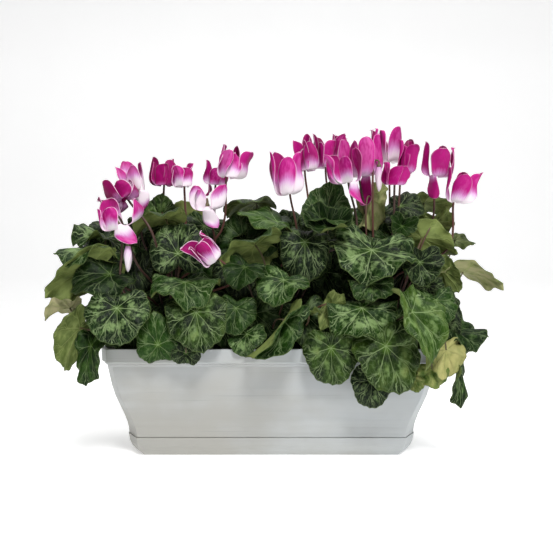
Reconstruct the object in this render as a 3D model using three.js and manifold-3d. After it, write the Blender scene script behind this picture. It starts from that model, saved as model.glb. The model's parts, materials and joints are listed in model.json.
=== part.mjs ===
// A long planter on its drip tray, filled with potting soil and planted with three large-flowered
// cyclamens. Millimetres, +Z up. The origin is under the middle of the drip tray; +X runs along the planter
// to the right and +Y away from the front, which is the side that shows most flowers.
//
// Each plant grows from its own tuber, half sunk in the soil. Its leaf stalks, leaves and flower stalks
// have grown in one piece with the tuber, so they are one solid. Each flower's petals are a solid of
// another colour, seated on the small green calyx that ends its stalk.

import * as THREE from "three";
import { mergeGeometries, mergeVertices } from "three/addons/utils/BufferGeometryUtils.js";
import Module from "manifold-3d";

const wasm = await Module();
wasm.setup();

// Driving dimensions of the planter and its tray.
const PLANTER_LENGTH = 500;
const PLANTER_DEPTH = 190;
const RIM_TOP = 163;
const BODY_FOOT = 2.8;
const TRAY_TOP = 27.5;
const TRAY_FLOOR = 2.5;
const WALL = 3.5;
const SOIL_TOP = 146;
const GAP = 0.3;
// The walls draw in more from front to back than from end to end.
const DEPTH_DRAW = 1.17;
// How far the outside lies inside the rim's outline, at each height from the rim down.
const BODY_PROFILE = [
  [RIM_TOP, 0],
  [143, 0.8],
  [142, 3.6],
  [138.6, 4.0],
  [138, 6.2],
  [122, 8.6],
  [104, 11.6],
  [88, 15.4],
  [72, 20.6],
  [56, 25.8],
  [44, 29.0],
  [34, 30.6],
  [TRAY_TOP + GAP, 31.0],
  [TRAY_TOP + GAP, 35.5],
  [BODY_FOOT, 40.0],
];
const TRAY_PROFILE = [
  [TRAY_TOP, 30.2],
  [15, 32.0],
  [7, 34.6],
  [0, 38.6],
];
// The bevelled corners: their run along X and along Y, at the rim and at the foot.
const BEVEL_AT_RIM = [14, 28];
const BEVEL_AT_FOOT = [21, 40];
const FOOT_INSET = 38.6;
const DRAIN_RADIUS = 5;
const DRAIN_PLACES = [-150, -50, 50, 150];
// The heights where the inside of the wall bends, and the soil's raised middle.
const SOIL_DOME = 4;
const HOLLOW_HEIGHTS = [TRAY_TOP, 34, 56, 88, 122, 136, SOIL_TOP - SOIL_DOME];
const SOIL_SHOULDER = 20;

// Driving dimensions of the plants.
const CROWNS = [-165, 0, 165];
const TUBER_RADIUS = 24;
const TUBER_PROFILE = [
  [0, -18],
  [19, -13],
  [TUBER_RADIUS, -1],
  [15, 9],
  [0, 12],
];
const TUBER_SIDES = 6;
const LEAF_THICKNESS = 1.0;
const LEAF_SPOKES = 12;
const SHADE_SPOKES = 10;
// Where the folds of a leaf meet, as a share of the way from its stalk to its tip.
const LEAF_HEART = 0.12;
const TOOTH = 0.03;
const MARGIN_WAVE = 0.03;
const LEAF_STALK_RADIUS = 1.7;
const LEAF_STALK_STEPS = 3;
// How much a stalk's root turns towards its leaf, from an even spacing round the tuber.
const ROOT_BLEND = 0.5;
// Where the leaf stalks leave the tuber: distance from its axis and height over the soil's top.
const STALK_RINGS = [
  [10, 6],
  [13.5, 4],
  [17, 1.5],
];
const STALK_SIDES = 3;
// A leaf's stalk first rises by this share of its length, leaning by this share of the way out to its leaf.
const LEAF_RISE = 0.33;
const LEAF_LEAN = 0.22;
// It comes to the leaf from behind, from this share of its length away, and stays clear of the soil and the
// rim.
const LEAF_APPROACH = 0.3;
const OVER_SOIL = 14;
const OVER_RIM = 16;
const NEAR_RIM = [215, 60];
// The stalk of a leaf that hangs below the rim first climbs over it.
const HANGING_CLIMB = [54, 42];
const FLOWER_STALK_RADIUS = 1.6;
// The flower stalks leave the top of the tuber in a spiral: the turn and the spacing from each to the next.
const SPIRAL_TURN = 2.4;
const SPIRAL_SPACING = 2.4;
const FLOWER_STALK_FOOT = 7;
const CALYX_FOOT = 4.5;
const CALYX_RADIUS = 3.6;
// The hook at the end of a flower's stalk, as [towards the open side, up along the petals].
const HOOK = [
  [9.5, -6],
  [9, 8],
  [5.5, 15],
  [0.6, 14],
  [0, CALYX_FOOT],
];
const PETAL_THICKNESS = 0.9;
// How far a sheet's mean facing at a bend may shrink, squared, before its thickness there is no longer kept.
const SHARPEST_BEND = 0.4;
const THROAT_RADIUS = 4.4;
const THROAT_HEIGHT = CALYX_FOOT - GAP - PETAL_THICKNESS / 2;
// A petal's half width is a fixed part and a share of how far the flower spreads.
const PETAL_WIDTH = 5.5;
const PETAL_WIDENING = 0.2;
const PETAL_BEND = 11;
const PETAL_SPACING = 1.08;
// Each petal is turned so that one side lies outside its neighbour.
const PETAL_TWIST = 0.5;
const PETAL_CUP = 2.5;
// The drawn differences between petals: in length, and in how far they lean sideways.
const PETAL_LENGTHS = [0.88, 1.08];
const PETAL_LEAN = 0.25;
// A fallen petal is shorter and hangs below the throat.
const FALLEN_LENGTH = -0.8;

// The places of leaves and flowers were read in a front view: a level camera at this point, whose picture
// is 553 pixels square and has this focal length in pixels.
const VIEW = { x: 8, y: -1045, z: 267, focal: 664.3, middle: 276.5 };

const colours = {
  planter: 0xc9cac8,
  soil: 0x2b211b,
  foliage: 0x35522f,
  petal: 0xb81f7f,
  bud: 0xeadbe0,
};

const rad = THREE.MathUtils.degToRad;
const vec = (x, y, z) => new THREE.Vector3(x, y, z);

// The point that the front view shows at this pixel, at depth y.
function seenAt(px, py, y) {
  const scale = (y - VIEW.y) / VIEW.focal;
  return vec(VIEW.x + (px - VIEW.middle) * scale, y, VIEW.z - (py - VIEW.middle) * scale);
}

// A repeatable number from 0 to 1 for each seed.
function drawn(seed) {
  const x = Math.sin(seed * 12.9898 + 4.1414) * 43758.5453;
  return x - Math.floor(x);
}

// Solids in general

// One closed solid from a three.js geometry that is closed, or that a sheet below has closed.
function solidFrom(geometry) {
  const bare = geometry.index ? geometry.toNonIndexed() : geometry.clone();
  bare.deleteAttribute("normal");
  bare.deleteAttribute("uv");
  const merged = mergeVertices(bare, 1e-3);
  const mesh = new wasm.Mesh({
    numProp: 3,
    vertProperties: merged.attributes.position.array,
    triVerts: new Uint32Array(merged.index.array),
  });
  mesh.merge();
  return new wasm.Manifold(mesh);
}

function joined(solids) {
  return solids.reduce((whole, solid) => whole.add(solid));
}

// A named mesh of one solid.
function meshOf(name, solid, colour, roughness) {
  const { vertProperties, triVerts, numProp } = solid.getMesh();
  const geometry = new THREE.BufferGeometry();
  const points = new THREE.InterleavedBuffer(vertProperties, numProp);
  geometry.setAttribute("position", new THREE.InterleavedBufferAttribute(points, 3, 0));
  geometry.setIndex(new THREE.BufferAttribute(triVerts, 1));
  const flat = geometry.toNonIndexed();
  flat.computeVertexNormals();
  const material = new THREE.MeshStandardMaterial({ color: colour, roughness, metalness: 0 });
  const mesh = new THREE.Mesh(flat, material);
  mesh.name = name;
  return mesh;
}

// A thin open surface made into a closed sheet: both faces are split into triangles alike. At a bend the
// faces stand further apart, so that the sheet keeps its thickness on both sides of it.
function sheet(surface, thickness) {
  const bare = surface.clone();
  bare.deleteAttribute("normal");
  bare.deleteAttribute("uv");
  const merged = mergeVertices(bare, 1e-3);
  const faces = [];
  const edges = new Map();
  for (let i = 0; i < merged.index.count; i += 3) {
    const [a, b, c] = [0, 1, 2].map((k) => merged.index.array[i + k]);
    if (a === b || b === c || c === a) continue;
    faces.push([a, b, c]);
    for (const [from, to] of [[a, b], [b, c], [c, a]]) {
      if (edges.has(`${to}_${from}`)) edges.delete(`${to}_${from}`);
      else edges.set(`${from}_${to}`, [from, to]);
    }
  }
  const { position } = merged.attributes;
  const count = position.count;
  const points = Array.from({ length: count }, (_, i) => vec().fromBufferAttribute(position, i));
  const facings = points.map(() => ({ sum: vec(), angles: 0 }));
  for (const face of faces) {
    const facing = new THREE.Triangle(...face.map((i) => points[i])).getNormal(vec());
    face.forEach((corner, i) => {
      const [here, next, last] = [0, 1, 2].map((k) => points[face[(i + k) % 3]]);
      const angle = next.clone().sub(here).angleTo(last.clone().sub(here));
      facings[corner].sum.addScaledVector(facing, angle);
      facings[corner].angles += angle;
    });
  }
  const vertProperties = new Float32Array(count * 6);
  for (let i = 0; i < count; i++) {
    const middle = points[i];
    const across = facings[i].sum.divideScalar(facings[i].angles || 1);
    across.multiplyScalar(thickness / 2 / Math.max(across.lengthSq(), SHARPEST_BEND));
    middle.clone().add(across).toArray(vertProperties, i * 3);
    middle.clone().sub(across).toArray(vertProperties, (count + i) * 3);
  }
  const triangles = faces.flatMap(([a, b, c]) => [a, b, c, count + c, count + b, count + a]);
  for (const [a, b] of edges.values()) triangles.push(b, a, count + a, b, count + a, count + b);
  const triVerts = new Uint32Array(triangles);
  return new wasm.Manifold(new wasm.Mesh({ numProp: 3, vertProperties, triVerts }));
}

// A profile of [radius, height] pairs turned about the vertical axis.
function turned(profile, sides) {
  const points = profile.map(([radius, height]) => new THREE.Vector2(radius, height));
  return new THREE.LatheGeometry(points, sides).rotateX(Math.PI / 2);
}

// A stalk along a curve, with a section at each of the curve's own even parameters; radii gives the radius
// at each.
function stalk(curve, radii) {
  const section = new THREE.Shape();
  for (let i = 0; i < STALK_SIDES; i++) {
    const angle = (i / STALK_SIDES) * 2 * Math.PI;
    if (i === 0) section.moveTo(Math.cos(angle), Math.sin(angle));
    else section.lineTo(Math.cos(angle), Math.sin(angle));
  }
  curve.getPointAt = curve.getPoint;
  curve.getTangentAt = curve.getTangent;
  const steps = radii.length - 1;
  const geometry = new THREE.ExtrudeGeometry(section, { steps, extrudePath: curve, bevelEnabled: false });
  const centres = curve.getSpacedPoints(steps);
  const { position } = geometry.attributes;
  const point = new THREE.Vector3();
  for (let i = 0; i < position.count; i++) {
    point.fromBufferAttribute(position, i);
    const nearest = centres.reduce((best, centre, k) => {
      const off = Math.abs(point.distanceTo(centre) - 1);
      return off < best.off ? { off, k } : best;
    }, { off: Infinity, k: 0 });
    const centre = centres[nearest.k];
    point.sub(centre).multiplyScalar(radii[nearest.k]).add(centre);
    position.setXYZ(i, point.x, point.y, point.z);
  }
  return solidFrom(geometry);
}

// The planter, its tray and the soil

// How far the planter's outside lies inside its rim at height z.
function bodyInset(z) {
  for (let i = 1; i < BODY_PROFILE.length; i++) {
    const [[upper, outer], [lower, inner]] = [BODY_PROFILE[i - 1], BODY_PROFILE[i]];
    if (z <= upper && z > lower) return THREE.MathUtils.mapLinear(z, lower, upper, inner, outer);
  }
  return z > RIM_TOP ? 0 : BODY_PROFILE.at(-1)[1];
}

// The eight corners of the planter's plan, drawn in by an inset.
function planOutline(inset) {
  const share = THREE.MathUtils.clamp(inset / FOOT_INSET, 0, 1);
  const bevelX = THREE.MathUtils.lerp(BEVEL_AT_RIM[0], BEVEL_AT_FOOT[0], share);
  const bevelY = THREE.MathUtils.lerp(BEVEL_AT_RIM[1], BEVEL_AT_FOOT[1], share);
  const x = PLANTER_LENGTH / 2 - inset;
  const y = PLANTER_DEPTH / 2 - inset * DEPTH_DRAW;
  return [
    [bevelX - x, -y],
    [x - bevelX, -y],
    [x, bevelY - y],
    [x, y - bevelY],
    [x - bevelX, y],
    [bevelX - x, y],
    [-x, y - bevelY],
    [-x, bevelY - y],
  ];
}

// A solid with the planter's plan, from levels of [height, inset] that rise.
function planned(levels) {
  const profile = [[0, levels[0][0]], ...levels.map(([z]) => [1, z]), [0, levels.at(-1)[0]]];
  const geometry = turned(profile, 8);
  const { position } = geometry.attributes;
  for (let corner = 0; corner <= 8; corner++) {
    levels.forEach(([z, inset], level) => {
      const [x, y] = planOutline(inset)[corner % 8];
      position.setXYZ(corner * profile.length + level + 1, x, y, z);
    });
  }
  return solidFrom(geometry);
}

// The planter's hollow, from its floor up, kept clear of its inside by a gap.
function hollowLevels(heights, gap) {
  return heights.map((z) => [z, bodyInset(z) + WALL + gap]);
}

function planterSolid() {
  const shell = planned(BODY_PROFILE.toReversed());
  const floor = BODY_FOOT + WALL;
  const hollow = planned(hollowLevels([floor, ...HOLLOW_HEIGHTS, RIM_TOP + 1], 0));
  const drain = new THREE.CylinderGeometry(DRAIN_RADIUS, DRAIN_RADIUS, 3 * WALL, 8);
  drain.rotateX(Math.PI / 2).translate(0, 0, BODY_FOOT + WALL / 2);
  const drains = DRAIN_PLACES.map((x) => solidFrom(drain.clone().translate(x, 0, 0)));
  return drains.reduce((body, hole) => body.subtract(hole), shell.subtract(hollow));
}

function traySolid() {
  const shell = planned(TRAY_PROFILE.toReversed());
  const foot = [
    [TRAY_FLOOR, BODY_PROFILE.at(-1)[1] - GAP],
    [TRAY_TOP + GAP, BODY_PROFILE.at(-2)[1] - GAP],
    [TRAY_TOP + 1, BODY_PROFILE.at(-2)[1] - GAP],
  ];
  return shell.subtract(planned(foot));
}

function soilSolid() {
  const floor = BODY_FOOT + WALL + GAP;
  const levels = hollowLevels([floor, ...HOLLOW_HEIGHTS], GAP);
  levels.push([SOIL_TOP, levels.at(-1)[1] + SOIL_SHOULDER]);
  const buried = TUBER_PROFILE.filter(([, z]) => z < 0);
  const hole = buried.map(([radius, z]) => [radius ? radius + GAP : 0, z - GAP]);
  hole.push([TUBER_RADIUS + GAP, 2 * TUBER_RADIUS], [0, 2 * TUBER_RADIUS]);
  const holes = CROWNS.map((x) => solidFrom(turned(hole, TUBER_SIDES).translate(x, 0, SOIL_TOP)));
  return holes.reduce((soil, cut) => soil.subtract(cut), planned(levels));
}

// The leaves

// The right half of a leaf's outline from its tip round to the notch at its stalk: across, in half widths,
// and along, in lengths from stalk to tip.
const LEAF_OUTLINE = [
  [0, 1],
  [0.42, 0.8],
  [0.8, 0.5],
  [1, 0.13],
  [0.97, -0.2],
  [0.74, -0.43],
  [0.38, -0.48],
  [0, -0.13],
];
const outlineCurve = new THREE.SplineCurve(LEAF_OUTLINE.map(([x, y]) => new THREE.Vector2(x, y)));

// A point of a leaf before it is placed: spread 0 is its stalk and 1 its margin; turn runs from 0 at the
// tip to 1 at the notch, and is negative on the left half.
function leafPoint(leaf, spread, turn) {
  const edge = outlineCurve.getPoint(Math.abs(turn));
  const tooth = 1 + TOOTH * Math.sin(turn * 7 * Math.PI + leaf.seed);
  const x = edge.x * Math.sign(turn) * spread * tooth * (leaf.width / 2);
  const along = edge.y * spread * (Math.abs(turn) < 0.9 ? tooth : 1);
  const arch = leaf.arch * leaf.reach * along * (1 - along);
  const atMargin = spread * spread * (1 - turn ** 4);
  const wave = MARGIN_WAVE * leaf.width * Math.sin(4 * Math.PI * turn + leaf.seed) * atMargin;
  const fold = rad(leaf.fold);
  return vec(x * Math.cos(fold), along * leaf.reach, Math.abs(x) * Math.sin(fold) + arch + wave);
}

function leafSolid(leaf) {
  const surface = new THREE.CircleGeometry(1, leaf.seed < LEAVES.length ? LEAF_SPOKES : SHADE_SPOKES);
  const { position } = surface.attributes;
  for (let i = 0; i < position.count; i++) {
    const [x, y] = [position.getX(i), position.getY(i)];
    const spread = Math.hypot(x, y);
    const turn = Math.atan2(y, x) / Math.PI;
    const place = spread ? leafPoint(leaf, spread, turn) : leafPoint(leaf, LEAF_HEART, 0);
    const point = place.applyMatrix4(leaf.frame);
    position.setXYZ(i, ...point.toArray());
  }
  return sheet(surface, LEAF_THICKNESS);
}

// A leaf with its place worked out: its frame has X across, Y from stalk to tip and Z out of its upper
// face.
function placedLeaf(seed, crown, root, tip, width, facing, fold, arch) {
  const along = tip.clone().sub(root);
  const reach = along.length();
  along.normalize();
  const upper = vec(...facing).projectOnPlane(along).normalize();
  const across = along.clone().cross(upper);
  const frame = new THREE.Matrix4().makeBasis(across, along, upper).setPosition(root);
  return { seed, crown, root, reach, width, upper, frame, fold, arch };
}

// Where the stalks of one plant's leaves leave its tuber: they keep the order of their bearings, and of
// three neighbours the highest leaf grows innermost.
function stalkRoots(plantLeaves) {
  const fromBack = (leaf) => {
    const bearing = Math.atan2(leaf.root.y, leaf.root.x - leaf.crown) / (2 * Math.PI);
    return (bearing + 0.75) % 1;
  };
  const ordered = plantLeaves.toSorted((a, b) => fromBack(a) - fromBack(b));
  const roots = new Map();
  for (let k = 0; k < ordered.length; k += STALK_RINGS.length) {
    const trio = ordered.slice(k, k + STALK_RINGS.length);
    const byHeight = trio.toSorted((a, b) => b.root.z - a.root.z);
    trio.forEach((leaf, i) => {
      const [ring, height] = STALK_RINGS[byHeight.indexOf(leaf)];
      const evenly = (k + i + 0.5) / ordered.length;
      const angle = 2 * Math.PI * (0.25 + THREE.MathUtils.lerp(evenly, fromBack(leaf), ROOT_BLEND));
      roots.set(leaf, vec(leaf.crown + ring * Math.cos(angle), ring * Math.sin(angle), SOIL_TOP + height));
    });
  }
  return roots;
}

// A leaf's stalk rises from the tuber, bends out, and meets the leaf from below or over the planter's rim.
function leafStalk(leaf, start) {
  const [x, y] = [leaf.root.x - leaf.crown, leaf.root.y];
  const length = start.distanceTo(leaf.root);
  const rise = start.clone().add(vec(x * LEAF_LEAN, y * LEAF_LEAN, length * LEAF_RISE));
  const under = leaf.root.clone().addScaledVector(leaf.upper, -LEAF_APPROACH * length);
  const nearRim = Math.abs(under.x) > NEAR_RIM[0] || Math.abs(under.y) > NEAR_RIM[1];
  under.z = Math.max(under.z, nearRim ? RIM_TOP + OVER_RIM : SOIL_TOP + OVER_SOIL);
  const hanging = leaf.root.z < RIM_TOP;
  if (hanging) {
    rise.set(leaf.root.x - x * LEAF_APPROACH, -NEAR_RIM[1], RIM_TOP + HANGING_CLIMB[0]);
    under.set(leaf.root.x, leaf.root.y + 2, RIM_TOP + HANGING_CLIMB[1]);
  }
  const end = leaf.root.clone().addScaledVector(leaf.upper, 0.1 * LEAF_THICKNESS);
  const curve = new THREE.CubicBezierCurve3(start, rise, under, end);
  const steps = hanging ? 2 * LEAF_STALK_STEPS : LEAF_STALK_STEPS;
  return stalk(curve, new Array(steps + 1).fill(LEAF_STALK_RADIUS));
}

// The flowers

// A flower hangs from its hooked stalk, and its five petals sweep back up past the hook. Its frame has Z
// along the petals and X towards the side that is left open for the stalk. The first rows of a petal, out
// from the throat and round the bend: distance from the axis, height and half width.
const PETAL_PATH = [
  [THROAT_RADIUS, THROAT_HEIGHT, 0],
  [9.6, -1.2, 4.2],
];
// Past the bend: shares of the way out to the tips' spread, of the way up and of the petal's half width.
const PETAL_RISE = [
  [0.45, 0.36, 0.95],
  [0.86, 0.8, 0.95],
  [1, 1, 0],
];

// The middle line of a petal at row i: its distance from the axis, its height and its half width there.
function petalRow(flower, i, height) {
  if (i < PETAL_PATH.length) return PETAL_PATH[i];
  const [out, up, broad] = PETAL_RISE[i - PETAL_PATH.length];
  const radius = THREE.MathUtils.lerp(PETAL_BEND, flower.spread, out);
  return [radius, up * height, broad * (PETAL_WIDTH + PETAL_WIDENING * flower.spread)];
}

// One petal, from the edge of the throat to its tip. A fallen petal hangs down instead of sweeping up.
function petalSurface(flower, bearing, seed, fallen) {
  const rows = PETAL_PATH.length + PETAL_RISE.length - 1;
  const lengthShare = THREE.MathUtils.lerp(...PETAL_LENGTHS, drawn(seed + 0.7));
  const length = flower.height * lengthShare * (fallen ? FALLEN_LENGTH : 1);
  const surface = new THREE.PlaneGeometry(2, 1, 2, rows);
  const { position } = surface.attributes;
  const lean = (2 * drawn(seed) - 1) * PETAL_LEAN;
  for (let i = 0; i < position.count; i++) {
    const side = -position.getX(i);
    const row = Math.round((0.5 + position.getY(i)) * rows);
    const share = row / rows;
    const [radius, height, half] = petalRow(flower, row, length);
    const twist = PETAL_TWIST * Math.min(1, row / 2);
    const angle = bearing + (row ? lean * share * share : side * PETAL_SPACING / 2);
    const cup = half ? PETAL_CUP * share * Math.abs(side) : 0;
    const out = radius + side * half * Math.sin(twist) - cup;
    const beside = side * half * Math.cos(twist);
    const x = out * Math.cos(angle) - beside * Math.sin(angle);
    const y = out * Math.sin(angle) + beside * Math.cos(angle);
    position.setXYZ(i, x, y, height);
  }
  return surface;
}

function placedFlower(seed, crown, base, top, spread, open, fallen) {
  const up = top.clone().sub(base);
  const height = up.length();
  up.normalize();
  const side = vec(Math.cos(rad(open)), Math.sin(rad(open)), 0).projectOnPlane(up).normalize();
  const frame = new THREE.Matrix4().makeBasis(side, up.clone().cross(side), up).setPosition(base);
  return { seed, crown, height, spread, fallen, frame };
}

// Five petals round a shallow throat, which closes the tube behind them.
function petalsSolid(flower) {
  const bearings = [-2, -1, 0, 1, 2].map((k) => Math.PI + k * PETAL_SPACING);
  const petals = bearings.map((bearing, k) => {
    return petalSurface(flower, bearing, flower.seed + 10 * k, k === flower.fallen);
  });
  // Its edge has a point at both sides and the middle of each petal, and one side is open between the outer
  // two.
  const first = bearings[0] - PETAL_SPACING / 2;
  const sides = 2 * petals.length + 1;
  const throat = new THREE.CircleGeometry(THROAT_RADIUS, sides);
  const { position } = throat.attributes;
  for (let i = 1; i < position.count; i++) {
    const angle = first + (((i - 1) % sides) * PETAL_SPACING) / 2;
    position.setXY(i, THROAT_RADIUS * Math.cos(angle), THROAT_RADIUS * Math.sin(angle));
  }
  throat.translate(0, 0, THROAT_HEIGHT);
  return sheet(mergeGeometries([throat, ...petals]), PETAL_THICKNESS).transform(flower.frame.elements);
}

// A bud's outline from its tip: distance from its axis, and how far down its length.
const BUD_PROFILE = [
  [0, 1],
  [2.2, 0.85],
  [4.8, 0.45],
  [4.6, 0.12],
];
const BUD_SIDES = 6;

// A closed bud hangs from the calyx with its petals rolled to a point.
function budSolid(bud) {
  const foot = CALYX_FOOT - GAP;
  const profile = BUD_PROFILE.map(([radius, down]) => [radius, -down * bud.height]);
  profile.push([CALYX_RADIUS, foot], [0, foot]);
  return solidFrom(turned(profile, BUD_SIDES)).transform(bud.frame.elements);
}

// A flower's stalk rises from the tuber, hooks over among the petals and widens into the calyx that carries
// them.
function flowerStalk(flower) {
  const hook = HOOK.map(([x, z]) => vec(x, 0, z).applyMatrix4(flower.frame));
  const up = vec(0, 0, 1).transformDirection(flower.frame);
  const order = flower.seed % 10;
  const ring = SPIRAL_SPACING * Math.sqrt(order + 0.6);
  const bearing = SPIRAL_TURN * order;
  const start = vec(ring * Math.cos(bearing), ring * Math.sin(bearing), SOIL_TOP + FLOWER_STALK_FOOT);
  start.x += flower.crown;
  const foot = hook[0];
  const below = foot.clone().addScaledVector(up, -0.3 * (foot.z - start.z));
  const rise = vec(start.x, start.y, THREE.MathUtils.lerp(start.z, foot.z, 0.4)).lerp(below, 0.25);
  const curve = new THREE.CatmullRomCurve3([start, rise, below, ...hook]);
  const radii = [...new Array(2 + HOOK.length).fill(FLOWER_STALK_RADIUS), CALYX_RADIUS];
  return stalk(curve, radii);
}

// The plants

// Which way a leaf's upper face looks, roughly.
const FORWARD = [0, -1, 0.3];
const SLANT = [0, -0.9, 0.7];
const LEVEL = [0, -0.5, 1];
const EDGE = [0, 0.3, 1];

// The leaves that show from the front. Each line gives the plant, the leaf's stalk end and its tip in the
// front view with their depths, its width, its facing, how far its sides fold up in degrees and how far it
// arches.
const LEAVES = [
  // the left plant, from the left end inwards
  [0, [104, 238, -30], [70, 232, -48], 76, [-0.1, -0.6, 0.85], 8, 0.15],
  [0, [93, 250, -62], [56, 260, -86], 74, [-0.1, -0.25, 1], 10, 0.15],
  [0, [92, 264, -88], [49, 293, -112], 80, [-0.5, 0.7, 0.5], -5, 0.25],
  [0, [108, 286, -85], [73, 284, -100], 80, SLANT, 5, 0.15],
  [0, [117, 308, -125], [119, 345, -140], 90, [0, -1, 0.45], 6, 0.15],
  [0, [70, 308, -90], [43, 315, -100], 52, [-0.3, 0.5, 0.8], 30, 0.1],
  [0, [76, 326, -95], [54, 367, -105], 66, [-0.7, 0.7, 0.3], 5, 0.2],
  [0, [97, 346, -112], [86, 385, -118], 50, [-0.3, -1, 0.3], 25, 0.15],
  [0, [160, 218, 30], [163, 194, 25], 62, [-0.3, -1, 0], 20, 0.1],
  [0, [185, 224, 34], [182, 201, 44], 66, [0, 0.9, 0.2], 5, 0.2],
  [0, [166, 219, -22], [131, 228, -40], 84, EDGE, 5, 0.25],
  [0, [178, 254, -60], [179, 220, -35], 84, [0, -1, 0.6], 8, 0.15],
  [0, [185, 282, -80], [187, 303, -132], 100, [0, -0.4, 1], 5, 0.15],
  [0, [196, 312, -115], [203, 352, -130], 86, [0, -1, 0.5], 5, 0.15],
  [0, [157, 330, -106], [158, 364, -112], 64, [0, -1, 0.2], 5, 0.1],
  [0, [188, 338, -104], [186, 364, -107], 50, [0, -1, 0.2], 8, 0.1],
  // the middle plant
  [1, [236, 308, -95], [234, 335, -108], 60, [0, -1, 0.4], 5, 0.15],
  [1, [247, 334, -100], [243, 357, -108], 58, [-0.5, -1, 0.5], 8, 0.15],
  [1, [277, 332, -120], [243, 361, -138], 94, [0.2, -1, 0.5], 22, 0.15],
  [1, [284, 280, -95], [264, 301, -120], 78, [-0.2, -0.8, 0.8], 8, 0.15],
  [1, [305, 242, -55], [304, 281, -80], 80, [0, -1, 0.4], 20, 0.1],
  [1, [277, 222, -15], [238, 214, -35], 84, LEVEL, 8, 0.15],
  [1, [256, 203, 40], [223, 209, 30], 80, EDGE, -8, 0.3],
  [1, [255, 245, -40], [216, 268, -70], 98, [-0.4, 0.5, 0.8], -8, 0.3],
  [1, [245, 267, -74], [232, 285, -94], 66, SLANT, 8, 0.15],
  [1, [332, 200, 0], [321, 234, -45], 88, [0, -0.7, 1], -10, 0.4],
  [1, [308, 313, -78], [294, 318, -90], 50, [0, 0.2, 1], 10, 0.15],
  [1, [309, 320, -98], [310, 337, -106], 44, FORWARD, 10, 0.1],
  [1, [345, 326, -92], [345, 342, -99], 40, FORWARD, 10, 0.1],
  [1, [331, 348, -104], [333, 386, -110], 78, [0, -1, 0.25], 6, 0.15],
  // the right plant, from the left outwards
  [2, [371, 205, 38], [369, 232, 30], 70, [0, 1, 0.4], 5, 0.2],
  [2, [400, 206, 0], [426, 212, -10], 62, SLANT, 8, 0.15],
  [2, [424, 203, 40], [452, 206, 35], 50, [0, 0.6, 0.8], 0, 0.2],
  [2, [436, 222, 20], [440, 239, 10], 58, [0, 0.7, 0.6], 5, 0.2],
  [2, [432, 232, 0], [454, 254, -10], 74, [0.3, 0.9, 0.3], 5, 0.2],
  [2, [402, 226, -34], [398, 242, -42], 48, FORWARD, 30, 0.1],
  [2, [372, 250, -60], [364, 284, -100], 128, [0, -0.9, 0.8], 5, 0.15],
  [2, [420, 262, -62], [418, 290, -84], 66, SLANT, 8, 0.15],
  [2, [442, 270, -30], [459, 292, -38], 46, [0.4, 0.8, 0.4], 5, 0.2],
  [2, [465, 270, -20], [502, 290, -30], 84, [0.2, -0.4, 0.9], 8, 0.15],
  [2, [455, 240, 20], [475, 244, 14], 50, EDGE, 5, 0.2],
  [2, [428, 286, -54], [434, 301, -64], 52, SLANT, 8, 0.15],
  [2, [436, 300, -82], [444, 325, -98], 62, [0.2, -1, 0.4], 8, 0.15],
  [2, [449, 297, -55], [454, 320, -65], 50, [0.5, -0.8, 0.3], 15, 0.1],
  [2, [418, 314, -120], [424, 368, -150], 92, [0.1, -1, 0.4], 8, 0.2],
  [2, [362, 308, -95], [369, 339, -125], 102, [0, -0.8, 0.8], -5, 0.2],
  [2, [371, 284, -85], [374, 301, -108], 66, LEVEL, 8, 0.15],
  [2, [386, 346, -116], [400, 394, -128], 93, [0, -1, 0.35], 6, 0.15],
  [2, [372, 380, -108], [370, 409, -111], 58, [0, -1, 0.1], 6, 0.1],
  [2, [412, 378, -108], [422, 391, -110], 32, FORWARD, 8, 0.1],
  [2, [432, 370, -108], [440, 388, -110], 46, FORWARD, 8, 0.1],
  [2, [446, 350, -104], [442, 380, -112], 54, [0.1, -1, 0.4], 8, 0.15],
  [2, [463, 336, -72], [487, 337, -80], 56, [0.3, -0.8, 0.7], 8, 0.15],
  [2, [453, 362, -84], [458, 407, -88], 42, [0.7, -0.7, 0.1], 28, 0.1],
];

// The leaves in the shade between the stalks, upright and facing the front, given in the same way.
const INNER_LEAVES = [
  [0, [130, 268, 30], [125, 240, 36]],
  [0, [165, 302, 36], [160, 272, 44]],
  [0, [210, 290, 48], [213, 260, 56]],
  [1, [243, 240, 32], [240, 212, 40]],
  [1, [255, 306, 34], [252, 276, 42]],
  [1, [302, 306, 30], [297, 276, 38]],
  [1, [312, 268, 36], [316, 240, 44]],
  [1, [286, 238, 24], [288, 210, 30]],
  [2, [350, 302, 34], [352, 272, 42]],
  [2, [390, 252, 44], [387, 224, 52]],
  [2, [425, 306, 26], [430, 278, 32]],
];
const INNER_WIDTH = 84;

// The leaves behind: tiers of [height, depth of the stalk end, how far the tip drops] for each plant.
const BACK_TIERS = [
  [196, 100, 34],
  [262, 72, 24],
  [322, 44, 12],
];
const BACK_SPACING = 82;
const BACK_REACH = 56;
const BACK_WIDTH = 80;
// The drawn differences in their heights and in how far their tips point outwards.
const BACK_LIFT = 12;
const BACK_FAN = 14;

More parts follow.
